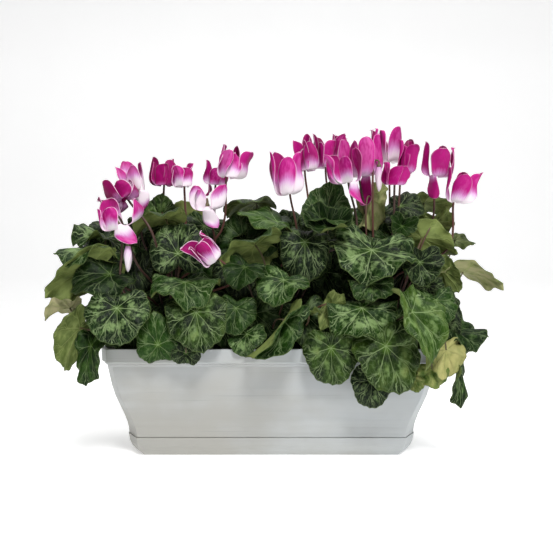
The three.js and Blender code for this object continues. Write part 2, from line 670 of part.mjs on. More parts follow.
// The flowers. Each line gives the plant, the foot and the top of the petals in the front view with the
// depth of the foot, how far the petal tips spread from the middle, how far the top leans towards the
// front, the bearing of the side that is left open for the stalk and, where one petal hangs down, its
// number.
const FLOWERS = [
  [0, [134, 190, -10], [133, 162], 17, 0, 90],
  [0, [127, 205, -38], [109, 184], 18, 10, 60],
  [0, [122, 233, -80], [107, 205], 24, 8, 60],
  [0, [163, 184, 16], [162, 159], 19, 0, 90],
  [0, [181, 185, -20], [181, 162], 17, 0, 90],
  [0, [214, 184, 34], [216, 163], 18, 4, 90, 1],
  [0, [230, 178, -12], [233, 148], 25, 0, 90],
  [0, [209, 219, -25], [206, 190], 24, 6, 90],
  [0, [209, 261, -88], [199, 233], 22, 16, 60],
  [1, [291, 194, -22], [285, 153], 27, 4, 90],
  [1, [306, 172, 10], [306, 139], 19, 0, 90],
  [1, [323, 168, 26], [324, 138], 15, 0, 90],
  [1, [337, 160, 56], [338, 135], 14, 0, 90],
  [1, [359, 176, 0], [358, 135], 26, 4, 90],
  [1, [341, 194, -44], [345, 154], 26, 4, 90, 3],
  [2, [388, 163, 32], [388, 129], 24, 0, 90],
  [2, [407, 172, -8], [410, 141], 20, 0, 90],
  [2, [394, 187, -48], [396, 164], 18, 4, 90],
  [2, [438, 177, 0], [442, 145], 28, 4, 90, 1],
  [2, [459, 204, -20], [464, 171], 27, 4, 120],
];
const BUDS = [
  [0, [127, 247, -72], [127, 236], 38],
  [2, [379, 170, -14], [379, 160], 34],
];

function frontLeaf([crown, root, tip, width, facing, fold, arch], index) {
  return placedLeaf(index, CROWNS[crown], seenAt(...root), seenAt(...tip), width, facing, fold, arch);
}

function backLeaves(crown, plant) {
  return BACK_TIERS.flatMap(([z, y, drop], tier) => [-1, 1].map((side) => {
    const seed = 100 + plant * 10 + tier * 2 + side;
    const root = vec(crown + side * BACK_SPACING / 2, y, z + BACK_LIFT * drawn(seed));
    const fan = side * BACK_FAN * drawn(seed + 0.5);
    const tip = root.clone().add(vec(fan, BACK_REACH - drop / 2, -drop));
    return placedLeaf(seed, crown, root, tip, BACK_WIDTH, [side * 0.3, 0.7, 0.8], 6, 0.2);
  }));
}

function frontFlower([crown, foot, top, spread, lean, open, fallen], index) {
  return placedFlower(index, CROWNS[crown], seenAt(...foot), seenAt(...top, foot[2] - lean), spread, open, fallen);
}

function frontBud([crown, foot, top, length], index) {
  const bud = placedFlower(40 + index, CROWNS[crown], seenAt(...foot), seenAt(...top, foot[2]), 0, 90);
  return { ...bud, height: length };
}

function innerLeaf([crown, root, tip], index) {
  return placedLeaf(200 + index, CROWNS[crown], seenAt(...root), seenAt(...tip), INNER_WIDTH, FORWARD, 6, 0.15);
}

const leaves = [...LEAVES.map(frontLeaf), ...INNER_LEAVES.map(innerLeaf), ...CROWNS.flatMap(backLeaves)];
const flowers = FLOWERS.map(frontFlower);
const buds = BUDS.map(frontBud);

function plantSolid(crown) {
  const ownLeaves = leaves.filter((leaf) => leaf.crown === crown);
  const roots = stalkRoots(ownLeaves);
  const ownStems = [...flowers, ...buds].filter((flower) => flower.crown === crown);
  return joined([
    solidFrom(turned(TUBER_PROFILE, TUBER_SIDES).translate(crown, 0, SOIL_TOP)),
    ...ownLeaves.map((leaf) => leafStalk(leaf, roots.get(leaf))),
    ...ownLeaves.map(leafSolid),
    ...ownStems.map(flowerStalk),
  ]);
}

const cyclamenPlanter = new THREE.Group();
cyclamenPlanter.add(
  meshOf("planter", planterSolid(), colours.planter, 0.75),
  meshOf("saucer", traySolid(), colours.planter, 0.75),
  meshOf("soil", soilSolid(), colours.soil, 1),
);
CROWNS.forEach((crown, i) => {
  cyclamenPlanter.add(meshOf(`plant_${i + 1}`, plantSolid(crown), colours.foliage, 0.6));
});
flowers.forEach((flower, i) => {
  const number = String(i + 1).padStart(2, "0");
  cyclamenPlanter.add(meshOf(`flower_${number}`, petalsSolid(flower), colours.petal, 0.55));
});
buds.forEach((bud, i) => {
  cyclamenPlanter.add(meshOf(`bud_${i + 1}`, budSolid(bud), colours.bud, 0.6));
});

export default cyclamenPlanter;
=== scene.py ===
"""A long drip-tray planter with three flowering cyclamens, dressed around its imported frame.

All lengths are in metres once they are used. Sizes that repeat the part's own driving dimensions are
written in millimetres and turned into metres by MM.
"""

from __future__ import annotations

import json
import logging
import math
from dataclasses import dataclass, field
from enum import Enum
from typing import Callable, Iterable, Iterator, Sequence

import bmesh
import bpy
from mathutils import Matrix, Vector, noise

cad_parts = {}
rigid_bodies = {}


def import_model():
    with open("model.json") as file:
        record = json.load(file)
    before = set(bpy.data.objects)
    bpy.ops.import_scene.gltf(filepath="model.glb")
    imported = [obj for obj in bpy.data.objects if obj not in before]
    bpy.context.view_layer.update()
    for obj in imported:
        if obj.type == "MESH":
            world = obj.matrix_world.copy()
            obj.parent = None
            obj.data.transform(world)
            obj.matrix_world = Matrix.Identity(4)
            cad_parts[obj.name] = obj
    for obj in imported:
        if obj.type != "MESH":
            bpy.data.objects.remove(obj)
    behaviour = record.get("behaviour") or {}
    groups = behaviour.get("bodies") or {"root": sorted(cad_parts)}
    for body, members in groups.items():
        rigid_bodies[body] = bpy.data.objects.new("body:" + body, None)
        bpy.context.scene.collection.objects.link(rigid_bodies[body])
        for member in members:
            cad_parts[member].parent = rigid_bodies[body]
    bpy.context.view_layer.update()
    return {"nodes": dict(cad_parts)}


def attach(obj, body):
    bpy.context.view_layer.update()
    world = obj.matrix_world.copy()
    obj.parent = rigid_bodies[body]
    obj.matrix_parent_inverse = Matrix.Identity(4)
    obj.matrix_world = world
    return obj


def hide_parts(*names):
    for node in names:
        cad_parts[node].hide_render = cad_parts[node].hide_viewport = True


Pair = tuple[float, float]
Triple = tuple[float, float, float]
Colour = Triple

LOG = logging.getLogger("cyclamen_planter")
MM = 0.001
BODY = "root"

# The planter, as the part states it.
PLANTER_LENGTH = 500 * MM
PLANTER_DEPTH = 190 * MM
RIM_TOP = 163 * MM
SOIL_TOP = 146 * MM
CROWNS = (-165 * MM, 0.0, 165 * MM)
# The turn in radians that spreads things evenly over a round.
TURN = 2.4

# The front view that the places of leaves and flowers were read in, and that the picture is taken from.
VIEW_PLACE = Vector((8 * MM, -1045 * MM, 267 * MM))
VIEW_FOCAL = 664.3
VIEW_MIDDLE = 276.5
VIEW_WIDTH = 553


class Facing(Enum):
    """Which way a leaf's upper face looks, roughly."""

    FORWARD = (0, -1, 0.3)
    SLANT = (0, -0.9, 0.7)
    LEVEL = (0, -0.5, 1)
    EDGE = (0, 0.3, 1)


# The leaves that show from the front. Each row gives the plant, the leaf's stalk end and its tip in the front
# view with their depths, its width, its facing, how far its sides fold up in degrees and how far it arches.
LEAVES = (
    # the left plant, from the left end inwards
    (0, (106, 238, -30), (72, 233, -48), 84, (-0.05, -0.36, 1), 8, 0.15),
    (0, (96, 249, -66), (56, 259, -96), 74, (-0.1, -0.34, 1), 10, 0.15),
    (0, (92, 266, -70), (46, 296, -96), 72, (-0.5, 0.7, 0.5), -5, 0.25),
    (0, (110, 274, -80), (71, 291, -110), 78, (-0.1, -0.9, 0.6), 10, 0.15),
    (0, (117, 308, -125), (119, 345, -140), 90, (0, -1, 0.45), 6, 0.15),
    (0, (70, 308, -90), (43, 315, -100), 44, (-0.3, 0.5, 0.8), 30, 0.1),
    (0, (80, 328, -95), (63, 370, -105), 66, (-0.7, 0.7, 0.3), 5, 0.2),
    (0, (91, 346, -112), (84, 385, -118), 50, (-0.3, -1, 0.3), 25, 0.15),
    (0, (160, 218, 30), (163, 194, 25), 62, (-0.3, -1, 0), 20, 0.1),
    (0, (185, 224, 34), (182, 201, 44), 66, (0, 0.9, 0.2), 5, 0.2),
    (0, (166, 219, -22), (131, 228, -40), 84, Facing.EDGE.value, 5, 0.25),
    (0, (178, 254, -60), (179, 220, -35), 84, (0, -1, 0.6), 8, 0.15),
    (0, (185, 282, -80), (187, 303, -132), 100, (0, -0.4, 1), 5, 0.15),
    (0, (196, 312, -115), (203, 352, -130), 86, (0, -1, 0.5), 5, 0.15),
    (0, (158, 345, -110), (154, 312, -104), 60, (0, -1, 0.1), 5, 0.1),
    (0, (186, 353, -112), (188, 330, -108), 42, (0, -1, 0.1), 8, 0.1),
    # the middle plant
    (1, (236, 308, -95), (234, 335, -108), 60, (0, -1, 0.4), 5, 0.15),
    (1, (247, 334, -100), (243, 357, -108), 58, (-0.5, -1, 0.5), 8, 0.15),
    (1, (284, 320, -112), (251, 360, -130), 84, (0.35, -0.87, -0.35), 68, 0.1),
    (1, (284, 280, -95), (264, 301, -120), 78, (-0.2, -0.8, 0.8), 8, 0.15),
    (1, (305, 242, -55), (304, 281, -80), 80, (0, -1, 0.4), 20, 0.1),
    (1, (277, 222, -15), (238, 214, -35), 84, Facing.LEVEL.value, 8, 0.15),
    (1, (256, 203, 40), (223, 209, 30), 80, Facing.EDGE.value, -8, 0.3),
    (1, (255, 245, -40), (218, 268, -70), 82, (-0.4, 0.5, 0.8), -8, 0.3),
    (1, (245, 267, -74), (232, 285, -94), 66, Facing.SLANT.value, 8, 0.15),
    (1, (326, 216, -32), (331, 182, -4), 74, (-0.05, -1, 0.35), 0, -0.5),
    (1, (308, 313, -78), (294, 318, -90), 50, (0, 0.2, 1), 10, 0.15),
    (1, (333, 305, -86), (321, 330, -94), 34, (0.4, 0.9, 0.1), 20, 0.1),
    (1, (345, 326, -92), (345, 342, -99), 40, Facing.FORWARD.value, 10, 0.1),
    (1, (331, 348, -104), (333, 386, -110), 78, (0, -1, 0.25), 6, 0.15),
    # the right plant, from the left outwards
    (2, (371, 198, 8), (364, 232, -6), 60, (0.5, 1, 0.3), 36, 0.2),
    (2, (400, 206, 0), (426, 212, -10), 62, Facing.SLANT.value, 8, 0.15),
    (2, (424, 203, 40), (452, 206, 35), 50, (0, 0.6, 0.8), 0, 0.2),
    (2, (436, 222, 20), (440, 239, 10), 58, (0, 0.7, 0.6), 5, 0.2),
    (2, (422, 238, -8), (457, 254, -16), 62, (0.2, 0.9, 0.4), 12, 0.2),
    (2, (402, 226, -34), (398, 242, -42), 48, Facing.FORWARD.value, 30, 0.1),
    (2, (372, 250, -60), (364, 284, -100), 128, (0, -0.9, 0.8), 5, 0.15),
    (2, (420, 262, -62), (418, 290, -84), 66, Facing.SLANT.value, 8, 0.15),
    (2, (442, 270, -30), (459, 292, -38), 46, (0.4, 0.8, 0.4), 5, 0.2),
    (2, (463, 272, -20), (502, 290, -30), 44, (0.06, 0.6, 0.8), 20, 0.55),
    (2, (455, 240, 20), (475, 244, 14), 50, Facing.EDGE.value, 5, 0.2),
    (2, (428, 286, -54), (434, 301, -64), 52, Facing.SLANT.value, 8, 0.15),
    (2, (436, 300, -82), (444, 325, -98), 62, (0.2, -1, 0.4), 8, 0.15),
    (2, (445, 297, -55), (450, 319, -65), 48, (0.5, -0.8, 0.3), 15, 0.1),
    (2, (412, 312, -120), (430, 368, -148), 84, (0.55, -0.9, 0.3), 38, 0.2),
    (2, (362, 308, -95), (369, 339, -125), 102, (0, -0.8, 0.8), -5, 0.2),
    (2, (371, 284, -85), (374, 301, -108), 66, Facing.LEVEL.value, 8, 0.15),
    (2, (386, 346, -116), (400, 394, -128), 93, (0, -1, 0.35), 6, 0.15),
    (2, (372, 380, -108), (370, 409, -111), 58, (0, -1, 0.1), 6, 0.1),
    (2, (412, 378, -108), (422, 391, -110), 32, Facing.FORWARD.value, 8, 0.1),
    (2, (432, 370, -108), (440, 388, -110), 46, Facing.FORWARD.value, 8, 0.1),
    (2, (446, 350, -104), (442, 380, -112), 54, (0.1, -1, 0.4), 8, 0.15),
    (2, (455, 331, -72), (487, 339, -80), 62, (0.3, -0.8, 0.7), 8, 0.15),
    (2, (456, 355, -84), (458, 407, -88), 42, (0.7, -0.7, 0.1), 28, 0.1),
    # the curled lip of the middle plant's upper leaf
    (1, (328, 227, -48), (320, 244, -76), 76, (-0.05, -0.8, 1), 0, 0.0),
)
# The leaves in the shade between the stalks, upright and facing the front, given in the same way.
INNER_LEAVES = (
    (0, (130, 268, 30), (125, 240, 36)),
    (0, (165, 302, 36), (160, 272, 44)),
    (0, (210, 290, 48), (213, 260, 56)),
    (1, (243, 240, 32), (240, 212, 40)),
    (1, (255, 306, 34), (252, 276, 42)),
    (1, (302, 306, 30), (297, 276, 38)),
    (1, (312, 268, 36), (316, 240, 44)),
    (1, (286, 238, 24), (288, 210, 30)),
    (2, (350, 302, 34), (352, 272, 42)),
    (2, (390, 252, 44), (387, 224, 52)),
    (2, (425, 306, 26), (430, 278, 32)),
)
# More leaves in the shade, where the front view would look through: the plant and the stalk's end.
SHADE_FILLS = (
    (1, (322, 222, 22)),
    (1, (336, 226, 30)),
    (2, (352, 222, 26)),
    (2, (374, 216, 34)),
    (2, (388, 214, 26)),
    (2, (404, 220, 20)),
    (2, (420, 230, 24)),
    (1, (296, 226, 30)),
    (0, (150, 226, 20)),
    (0, (128, 240, 10)),
    (0, (112, 234, -2)),
    (0, (204, 226, 24)),
)
# The flowers. Each row gives the plant, the foot and the top of the petals in the front view with the depth
# of the foot, how far the petal tips spread, how far the top leans towards the front, the bearing of the side
# that is left open for the stalk and the numbers of the petals that hang down.
FLOWERS = (
    (0, (137, 191, -10), (134, 161), 18, 0, 90, 3),
    (0, (125, 201, -42), (114, 186), 20, -20, 60),
    (0, (119, 227, -80), (110, 202), 27, 8, 60, 3),
    (0, (163, 185, 16), (164, 158), 14, 0, 90),
    (0, (182, 186, -20), (182, 163), 11, 0, 75),
    (0, (215, 184, 34), (217, 163), 9, 4, 90, 1),
    (0, (228, 177, -12), (231, 147), 18, 0, 110),
    (0, (208, 209, -25), (205, 184), 18, 6, 90, 2, 4),
    (0, (214, 259, -88), (194, 239), 16, 14, 60),
    (1, (288, 194, -22), (282, 149), 20, 4, 70),
    (1, (308, 170, 10), (306, 135), 11, 0, 120),
    (1, (323, 167, 26), (323, 135), 12, 0, 60),
    (1, (338, 160, 56), (338, 133), 11, 0, 90),
    (1, (361, 176, 0), (358, 133), 22, 4, 100, 4),
    (1, (348, 182, -44), (344, 149), 21, 4, 80, 3),
    (2, (387, 162, 32), (387, 125), 18, 0, 60),
    (2, (404, 172, -8), (407, 140), 11, 0, 110),
    (2, (394, 184, -48), (395, 163), 10, 4, 75),
    (2, (437, 176, 0), (440, 143), 22, 4, 98, 1),
    (2, (458, 202, -20), (462, 168), 20, 4, 120),
)
# The buds: the plant, the foot and a point above it, and the length.
BUDS = (
    (0, (128, 249, -76), (128, 238), 34),
    (2, (379, 170, -14), (379, 160), 34),
)


def drawn(seed: float) -> float:
    """A repeatable number from 0 to 1 for each seed."""
    value = math.sin(seed * 12.9898 + 4.1414) * 43758.5453
    return value - math.floor(value)


def mix(a: float, b: float, share: float) -> float:
    """The number that lies a share of the way from a to b."""
    return a + (b - a) * share


def smooth(value: float, low: float, high: float) -> float:
    """A soft step from 0 at low to 1 at high."""
    share = min(1.0, max(0.0, (value - low) / (high - low)))
    return share * share * (3 - 2 * share)


def round_about(angle: float, radius: float, height: float = 0.0) -> Vector:
    """A point on a circle about the Z axis."""
    return Vector((radius * math.cos(angle), radius * math.sin(angle), height))


def seen_at(px: float, py: float, depth: float) -> Vector:
    """The point that the front view shows at a pixel.

    Args:
        px: Pixels from the left edge.
        py: Pixels from the top edge.
        depth: The point's Y in millimetres.

    Returns:
        The point in metres.
    """
    y = depth * MM
    scale = (y - VIEW_PLACE.y) / VIEW_FOCAL
    return Vector((VIEW_PLACE.x + (px - VIEW_MIDDLE) * scale, y, VIEW_PLACE.z - (py - VIEW_MIDDLE) * scale))


def off_axis(direction: Vector, axis: Vector) -> Vector:
    """The unit vector of a direction's part square to an axis."""
    return (direction - direction.dot(axis) * axis).normalized()


def basis(x: Vector, y: Vector, z: Vector, at: Vector) -> Matrix:
    """A matrix with the given axes and place."""
    return Matrix.Translation(at) @ Matrix((x, y, z)).transposed().to_4x4()


def evenly_spline(points: Sequence[Sequence[float]], share: float) -> Vector:
    """A point on a uniform spline through the points.

    Args:
        points: The points that it passes through, of any number of axes.
        share: From 0 at the first to 1 at the last.

    Returns:
        The point.
    """
    last = len(points) - 1
    place = last * min(1.0, max(0.0, share))
    k = min(int(place), last - 1)
    w = place - k
    p0, p1, p2, p3 = (Vector(points[min(last, max(0, k + i))]) for i in (-1, 0, 1, 2))
    v0, v1 = (p2 - p0) / 2, (p3 - p1) / 2
    return (2 * p1 - 2 * p2 + v0 + v1) * w**3 + (3 * p2 - 3 * p1 - 2 * v0 - v1) * w**2 + v0 * w + p1


def smooth_faces(faces: Iterable[bmesh.types.BMFace]) -> None:
    """Shades faces as one round surface."""
    for face in faces:
        face.smooth = True


def added(name: str, data: bpy.types.ID) -> bpy.types.Object:
    """A new object of the scene that holds the data.

    Args:
        name: The object's name.
        data: Its mesh, light or camera.

    Returns:
        The object.
    """
    made = bpy.data.objects.new(name, data)
    bpy.context.scene.collection.objects.link(made)
    return made


class Route:
    """Curves that stalks follow, as lists of points."""

    @staticmethod
    def bezier(controls: Sequence[Vector], steps: int) -> list[Vector]:
        """Points on the cubic curve of four controls.

        Args:
            controls: The four controls.
            steps: How many steps it takes.

        Returns:
            The points, ends included.
        """
        a, b, c, d = controls
        made = []
        for i in range(steps + 1):
            t = i / steps
            made.append(a * (1 - t) ** 3 + b * 3 * t * (1 - t) ** 2 + c * 3 * t * t * (1 - t) + d * t**3)
        return made

    @staticmethod
    def spline(points: Sequence[Vector], per_stretch: int) -> list[Vector]:
        """Points on a centripetal spline through the given ones.

        Args:
            points: The points that it passes through.
            per_stretch: How many steps it takes between two of them.

        Returns:
            The points, ends included.
        """
        held = [2 * points[0] - points[1], *points, 2 * points[-1] - points[-2]]
        made = [points[0].copy()]
        for p0, p1, p2, p3 in zip(held, held[1:], held[2:], held[3:]):
            d0, d1, d2 = (max(1e-6, (b - a).length ** 0.5) for a, b in ((p0, p1), (p1, p2), (p2, p3)))
            v1 = ((p1 - p0) / d0 - (p2 - p0) / (d0 + d1) + (p2 - p1) / d1) * d1
            v2 = ((p2 - p1) / d1 - (p3 - p1) / (d1 + d2) + (p3 - p2) / d2) * d1
            for i in range(1, per_stretch + 1):
                w = i / per_stretch
                cubic = (2 * p1 - 2 * p2 + v1 + v2) * w**3
                made.append(cubic + (3 * p2 - 3 * p1 - 2 * v1 - v2) * w**2 + v1 * w + p1)
        return made


def operator(operation: str, swapped: bool = False) -> Callable[[Sock, Number], Sock]:
    """Makes an operator of Sock, which adds one Math node.

    Args:
        operation: The node's operation.
        swapped: Whether the other value stands on the left.

    Returns:
        The operator's method.
    """

    def apply(self: Sock, other: Number) -> Sock:
        """Works on two values."""
        values = (other, self) if swapped else (self, other)
        return self.shader.maths(operation, *values)

    return apply


class Sock:
    """A shader value that Python's operators work on, by adding Math nodes."""

    def __init__(self, shader: Shader, socket: bpy.types.NodeSocket) -> None:
        """Keeps the shader and the socket that gives the value."""
        self.shader = shader
        self.socket = socket

    __add__ = operator("ADD")
    __radd__ = operator("ADD", swapped=True)
    __sub__ = operator("SUBTRACT")
    __rsub__ = operator("SUBTRACT", swapped=True)
    __mul__ = operator("MULTIPLY")
    __truediv__ = operator("DIVIDE")

    def __abs__(self) -> Sock:
        """The value without its sign."""
        return self.shader.maths("ABSOLUTE", self)


Number = Sock | float


def linear(red: int, green: int, blue: int) -> Colour:
    """A linear colour from its screen values of 0 to 255."""
    parts = (c / 255 for c in (red, green, blue))
    return tuple(p / 12.92 if p <= 0.04045 else ((p + 0.055) / 1.055) ** 2.4 for p in parts)


class Shader:
    """A material with one Principled surface, and the nodes that feed it."""

    def __init__(self, name: str, roughness: float, **constants: float) -> None:
        """Starts a material.

        Args:
            name: The material's name.
            roughness: Its roughness where no node gives one.
            constants: Values of other sockets of the surface, by name with _ for a space.
        """
        self.material = bpy.data.materials.new(name)
        self.material.use_nodes = True
        self.tree = self.material.node_tree
        self.tree.nodes.clear()
        output = self.tree.nodes.new("ShaderNodeOutputMaterial")
        self.surface = self.tree.nodes.new("ShaderNodeBsdfPrincipled")
        self.tree.links.new(self.surface.outputs["BSDF"], output.inputs["Surface"])
        self.surface.inputs["Roughness"].default_value = roughness
        for key, value in constants.items():
            self.surface.inputs[key.replace("_", " ")].default_value = value

    def feed(self, socket: bpy.types.NodeSocket, value: Sock | float | Sequence[float]) -> None:
        """Gives a socket its value.

        Args:
            socket: The socket.
            value: A shader value to link, or a constant to set.
        """
        if isinstance(value, Sock):
            self.tree.links.new(value.socket, socket)
        elif isinstance(value, tuple) and len(value) == 3 and socket.type == "RGBA":
            socket.default_value = (*value, 1)
        else:
            socket.default_value = value

    def node(self, kind: str, inputs: dict | None = None, **settings: str) -> bpy.types.Node:
        """Adds a node.

        Args:
            kind: The node's type.
            inputs: The values or links of its sockets, by name or number.
            settings: Its own settings, which are set first.

        Returns:
            The node.
        """
        made = self.tree.nodes.new(kind)
        for key, value in settings.items():
            setattr(made, key, value)
        for key, value in (inputs or {}).items():
            self.feed(made.inputs[key], value)
        return made

    def value(self, output: str | int, kind: str, inputs: dict | None = None, **settings: str) -> Sock:
        """One output of a new node."""
        return Sock(self, self.node(kind, inputs, **settings).outputs[output])

    def maths(self, operation: str, *values: Number) -> Sock:
        """One Math node on one or two values."""
        return self.value(0, "ShaderNodeMath", dict(enumerate(values)), operation=operation)

    def attribute(self, name: str) -> Sock:
        """The vector that the mesh holds under a name."""
        return self.value("Vector", "ShaderNodeAttribute", attribute_type="GEOMETRY", attribute_name=name)

    def parts(self, vector: Sock) -> tuple[Sock, Sock, Sock]:
        """The three parts of a vector."""
        made = self.node("ShaderNodeSeparateXYZ", {0: vector})
        return tuple(Sock(self, out) for out in made.outputs)

    def vector(self, x: Number, y: Number, z: Number) -> Sock:
        """A vector of three values."""
        return self.value(0, "ShaderNodeCombineXYZ", {0: x, 1: y, 2: z})

    def place(self, stretch: Triple = (1.0, 1.0, 1.0)) -> Sock:
        """The point's place on the object in metres, stretched along each axis."""
        place = self.value("Object", "ShaderNodeTexCoord")
        return self.value(0, "ShaderNodeMapping", {"Vector": place, "Scale": stretch})

    def noise(self, at: Sock, scale: float, detail: float = 3.0, distortion: float = 0.0) -> Sock:
        """Cloudy noise of about 0.3 to 0.7.

        Args:
            at: The place that it is read at.
            scale: How fine it is.
            detail: How many finer layers it has.
            distortion: How far it is bent.

        Returns:
            The noise.
        """
        inputs = {"Vector": at, "Scale": scale, "Detail": detail, "Distortion": distortion}
        return self.value("Fac", "ShaderNodeTexNoise", inputs)

    def cells(self, at: Sock, scale: float) -> Sock:
        """The distance from the edges of small cells."""
        inputs = {"Vector": at, "Scale": scale}
        return self.value("Distance", "ShaderNodeTexVoronoi", inputs, feature="DISTANCE_TO_EDGE")

    def step(self, value: Sock, low: float, high: float) -> Sock:
        """A soft step.

        Args:
            value: What it steps on.
            low: Where it is 0.
            high: Where it is 1; it may lie below low.

        Returns:
            The step.
        """
        inputs = {"Value": value, "From Min": min(low, high), "From Max": max(low, high)}
        if low > high:
            inputs |= {"To Min": 1.0, "To Max": 0.0}
        return self.value(0, "ShaderNodeMapRange", inputs, interpolation_type="SMOOTHSTEP")

    def larger(self, a: Sock, b: Sock) -> Sock:
        """The larger of two values."""
        return self.maths("MAXIMUM", a, b)

    def blend(self, a: Sock | Colour, b: Sock | Colour, share: Number) -> Sock:
        """The colour a share of the way from a to b."""
        return self.value(2, "ShaderNodeMix", {0: share, 6: a, 7: b}, data_type="RGBA")

    def relief(self, height: Sock, depth: float, strength: float = 1.0) -> None:
        """Gives the surface a fine relief.

        Args:
            height: Its height from 0 to 1.
            depth: How high 1 stands, in metres.
            strength: How much of it shows.
        """
        inputs = {"Height": height, "Distance": depth, "Strength": strength}
        self.feed(self.surface.inputs["Normal"], self.value(0, "ShaderNodeBump", inputs))

    def colour(self, base: Sock | Colour, *layers: tuple[Colour, Sock]) -> None:
        """Gives the surface its colour.

        Args:
            base: The colour below.
            layers: The colours over it, each with the share that it covers.
        """
        for colour, share in layers:
            base = self.blend(base, colour, share)
        self.feed(self.surface.inputs["Base Color"], base)

    def roughness(self, value: Sock) -> None:
        """Links the surface's roughness."""
        self.feed(self.surface.inputs["Roughness"], value)


@dataclass(frozen=True)
class MouldedPlastic:
    """Pale grey moulded plastic with a faint wiped, whitewashed look, painted lighter towards the top and the
    right end.
    """

    painted_light_cool: Colour = linear(178, 184, 188)
    painted_shade_warm: Colour = linear(168, 167, 161)
    scuff: Colour = linear(188, 191, 190)
    line: Colour = linear(140, 143, 142)
    relief: float = 0.15 * MM

    def material(self) -> bpy.types.Material:
        """The planter's and the tray's finish.

        Returns:
            The material.
        """
        shader = Shader("moulded_plastic", 0.5)
        x, _, z = shader.parts(shader.place())
        clouds = shader.noise(shader.place((1.0, 1.0, 1.4)), 7.0, 4.0)
        streaks = shader.noise(shader.place((2.0, 2.0, 46.0)), 1.0, 4.0, 0.3)
        fine = shader.noise(shader.place((5.0, 5.0, 420.0)), 1.0, 2.0, 0.2)
        # Painted light and shade: lighter and bluer up and to the right, dimmer and warmer down and to the
        # left, with random cloudy tone.
        tone = shader.blend(self.painted_shade_warm, self.painted_light_cool, shader.step(z * 2.2 + x * 0.7 + clouds * 0.8, 0.3, 0.9))
        wiped = shader.step(streaks * 0.5 + clouds * 0.5, 0.48, 0.62) * 0.5
        shader.colour(tone, (self.scuff, wiped), (self.line, shader.step(fine, 0.66, 0.74) * 0.35))
        shader.roughness(0.44 + streaks * 0.2)
        shader.relief(streaks * 0.7 + fine * 0.3, self.relief, 0.3)
        return shader.material


@dataclass(frozen=True)
class PottingSoil:
    """Dark crumbly peat with pale flecks."""

    dark: Colour = linear(26, 19, 14)
    light: Colour = linear(66, 50, 36)
    fleck: Colour = linear(120, 104, 84)
    relief: float = 2.5 * MM

    def material(self) -> bpy.types.Material:
        """The soil's finish.

        Returns:
            The material.
        """
        shader = Shader("potting_soil", 0.95)
        at = shader.place()
        crumbs = shader.noise(at, 160.0, 6.0)
        flecks = shader.step(shader.noise(at, 420.0, 2.0), 0.68, 0.74)
        shader.colour(self.dark, (self.light, shader.step(crumbs, 0.4, 0.66)), (self.fleck, flecks))
        shader.relief(crumbs, self.relief, 0.8)
        return shader.material


@dataclass(frozen=True)
class TuberSkin:
    """Brown corky skin of a tuber, with the tufts that its stalks leave."""

    dark: Colour = linear(58, 42, 30)
    light: Colour = linear(104, 80, 58)
    relief: float = 1.2 * MM

    def material(self) -> bpy.types.Material:
        """The tuber's finish.

        Returns:
            The material.
        """
        shader = Shader("tuber_skin", 0.85)
        at = shader.place()
        cork = shader.noise(at, 120.0, 5.0, 0.6)
        shader.colour(self.dark, (self.light, shader.step(cork, 0.4, 0.62)))
        shader.relief(cork, self.relief, 0.7)
        return shader.material


# How far apart two leaves read the same noise.
LEAF_STEP = 37.0


@dataclass(frozen=True)
class LeafFace:
    """The upper face of a cyclamen leaf: dark green, marbled with silver between pale veins, with painted
    shade on leaves deep in the foliage.
    """

    deep: Colour = linear(3, 19, 2)
    green: Colour = linear(29, 59, 8)
    silver: Colour = linear(142, 168, 110)
    vein: Colour = linear(164, 186, 132)
    fresh: Colour = linear(84, 118, 34)
    yellow: Colour = linear(172, 168, 108)
    margin: Colour = linear(84, 102, 54)
    # The colour of the painted shade that darkens leaves deep in the foliage.
    shade: Colour = linear(4, 9, 3)
    gloss: float = 0.14
    relief: float = 1.8 * MM

    def material(self) -> bpy.types.Material:
        """The finish of leaves seen from above.

        Returns:
            The material.
        """
        shader = Shader("leaf_face", 0.5, Specular_IOR_Level=self.gloss)
        u, v, spread = shader.parts(shader.attribute("blade"))
        silvering, yellowing_and_painted_shade, shade = shader.parts(shader.attribute("tone"))
        here = shader.vector(u + shade * LEAF_STEP, v, 0.0)
        cloud = shader.noise(here, 2.4, 3.0)
        grain = shader.noise(here, 9.0, 4.0)
        turn, veins, main_vein = veined(shader, u, v, spread, here)
        net = shader.step(shader.cells(here, 7.0), 0.04, 0.01) * 0.22
        veins = shader.larger(veins, net)
        ring = shader.step(spread, 0.2, 0.42) * shader.step(spread, 0.9, 0.62)
        feathers = shader.noise(shader.vector(turn * 16.0 + shade * 11.0, spread * 1.5, 0.0), 1.0, 4.0, 0.5)
        blots = ring * 0.4 + (cloud - 0.5) * 1.3 + grain - 0.5 + (feathers - 0.5) * 1.2 + silvering * 0.3
        patches = shader.step(blots, 0.46, 0.86) * 0.9
        flecks = shader.step(grain + (cloud - 0.5) * 0.5, 0.54, 0.7) * shader.step(spread, 0.2, 0.8) * 0.25
        marble = shader.larger(patches, flecks) * silvering
        mottle = cloud * 0.6 + grain * 0.4 + (shade - 0.5) * 0.4
        shader.colour(
            self.deep,
            (self.green, shader.step(mottle, 0.3, 0.72)),
            (self.fresh, shader.step(spread, 0.24, 0.03) * 0.55),
            (self.silver, marble),
            (self.vein, veins * (0.3 + silvering * 0.4)),
            (self.fresh, shader.step(yellowing_and_painted_shade + (cloud - 0.5) * 0.6, 0.0, 0.5) * 0.6),
            (self.yellow, shader.step(yellowing_and_painted_shade + (cloud - 0.5) * 0.9, 0.2, 0.9)),
            (self.margin, shader.step(spread, 0.96, 0.99) * 0.6),
            # Painted shade: an age value below 0 darkens the leaf.
            (self.shade, shader.step(yellowing_and_painted_shade, 0.0, -1.0)),
        )
        shader.roughness(0.4 + grain * 0.2)
        shader.relief(0.6 - main_vein * 0.5 - veins * 0.25 + grain * 0.5, self.relief, 0.8)
        return shader.material


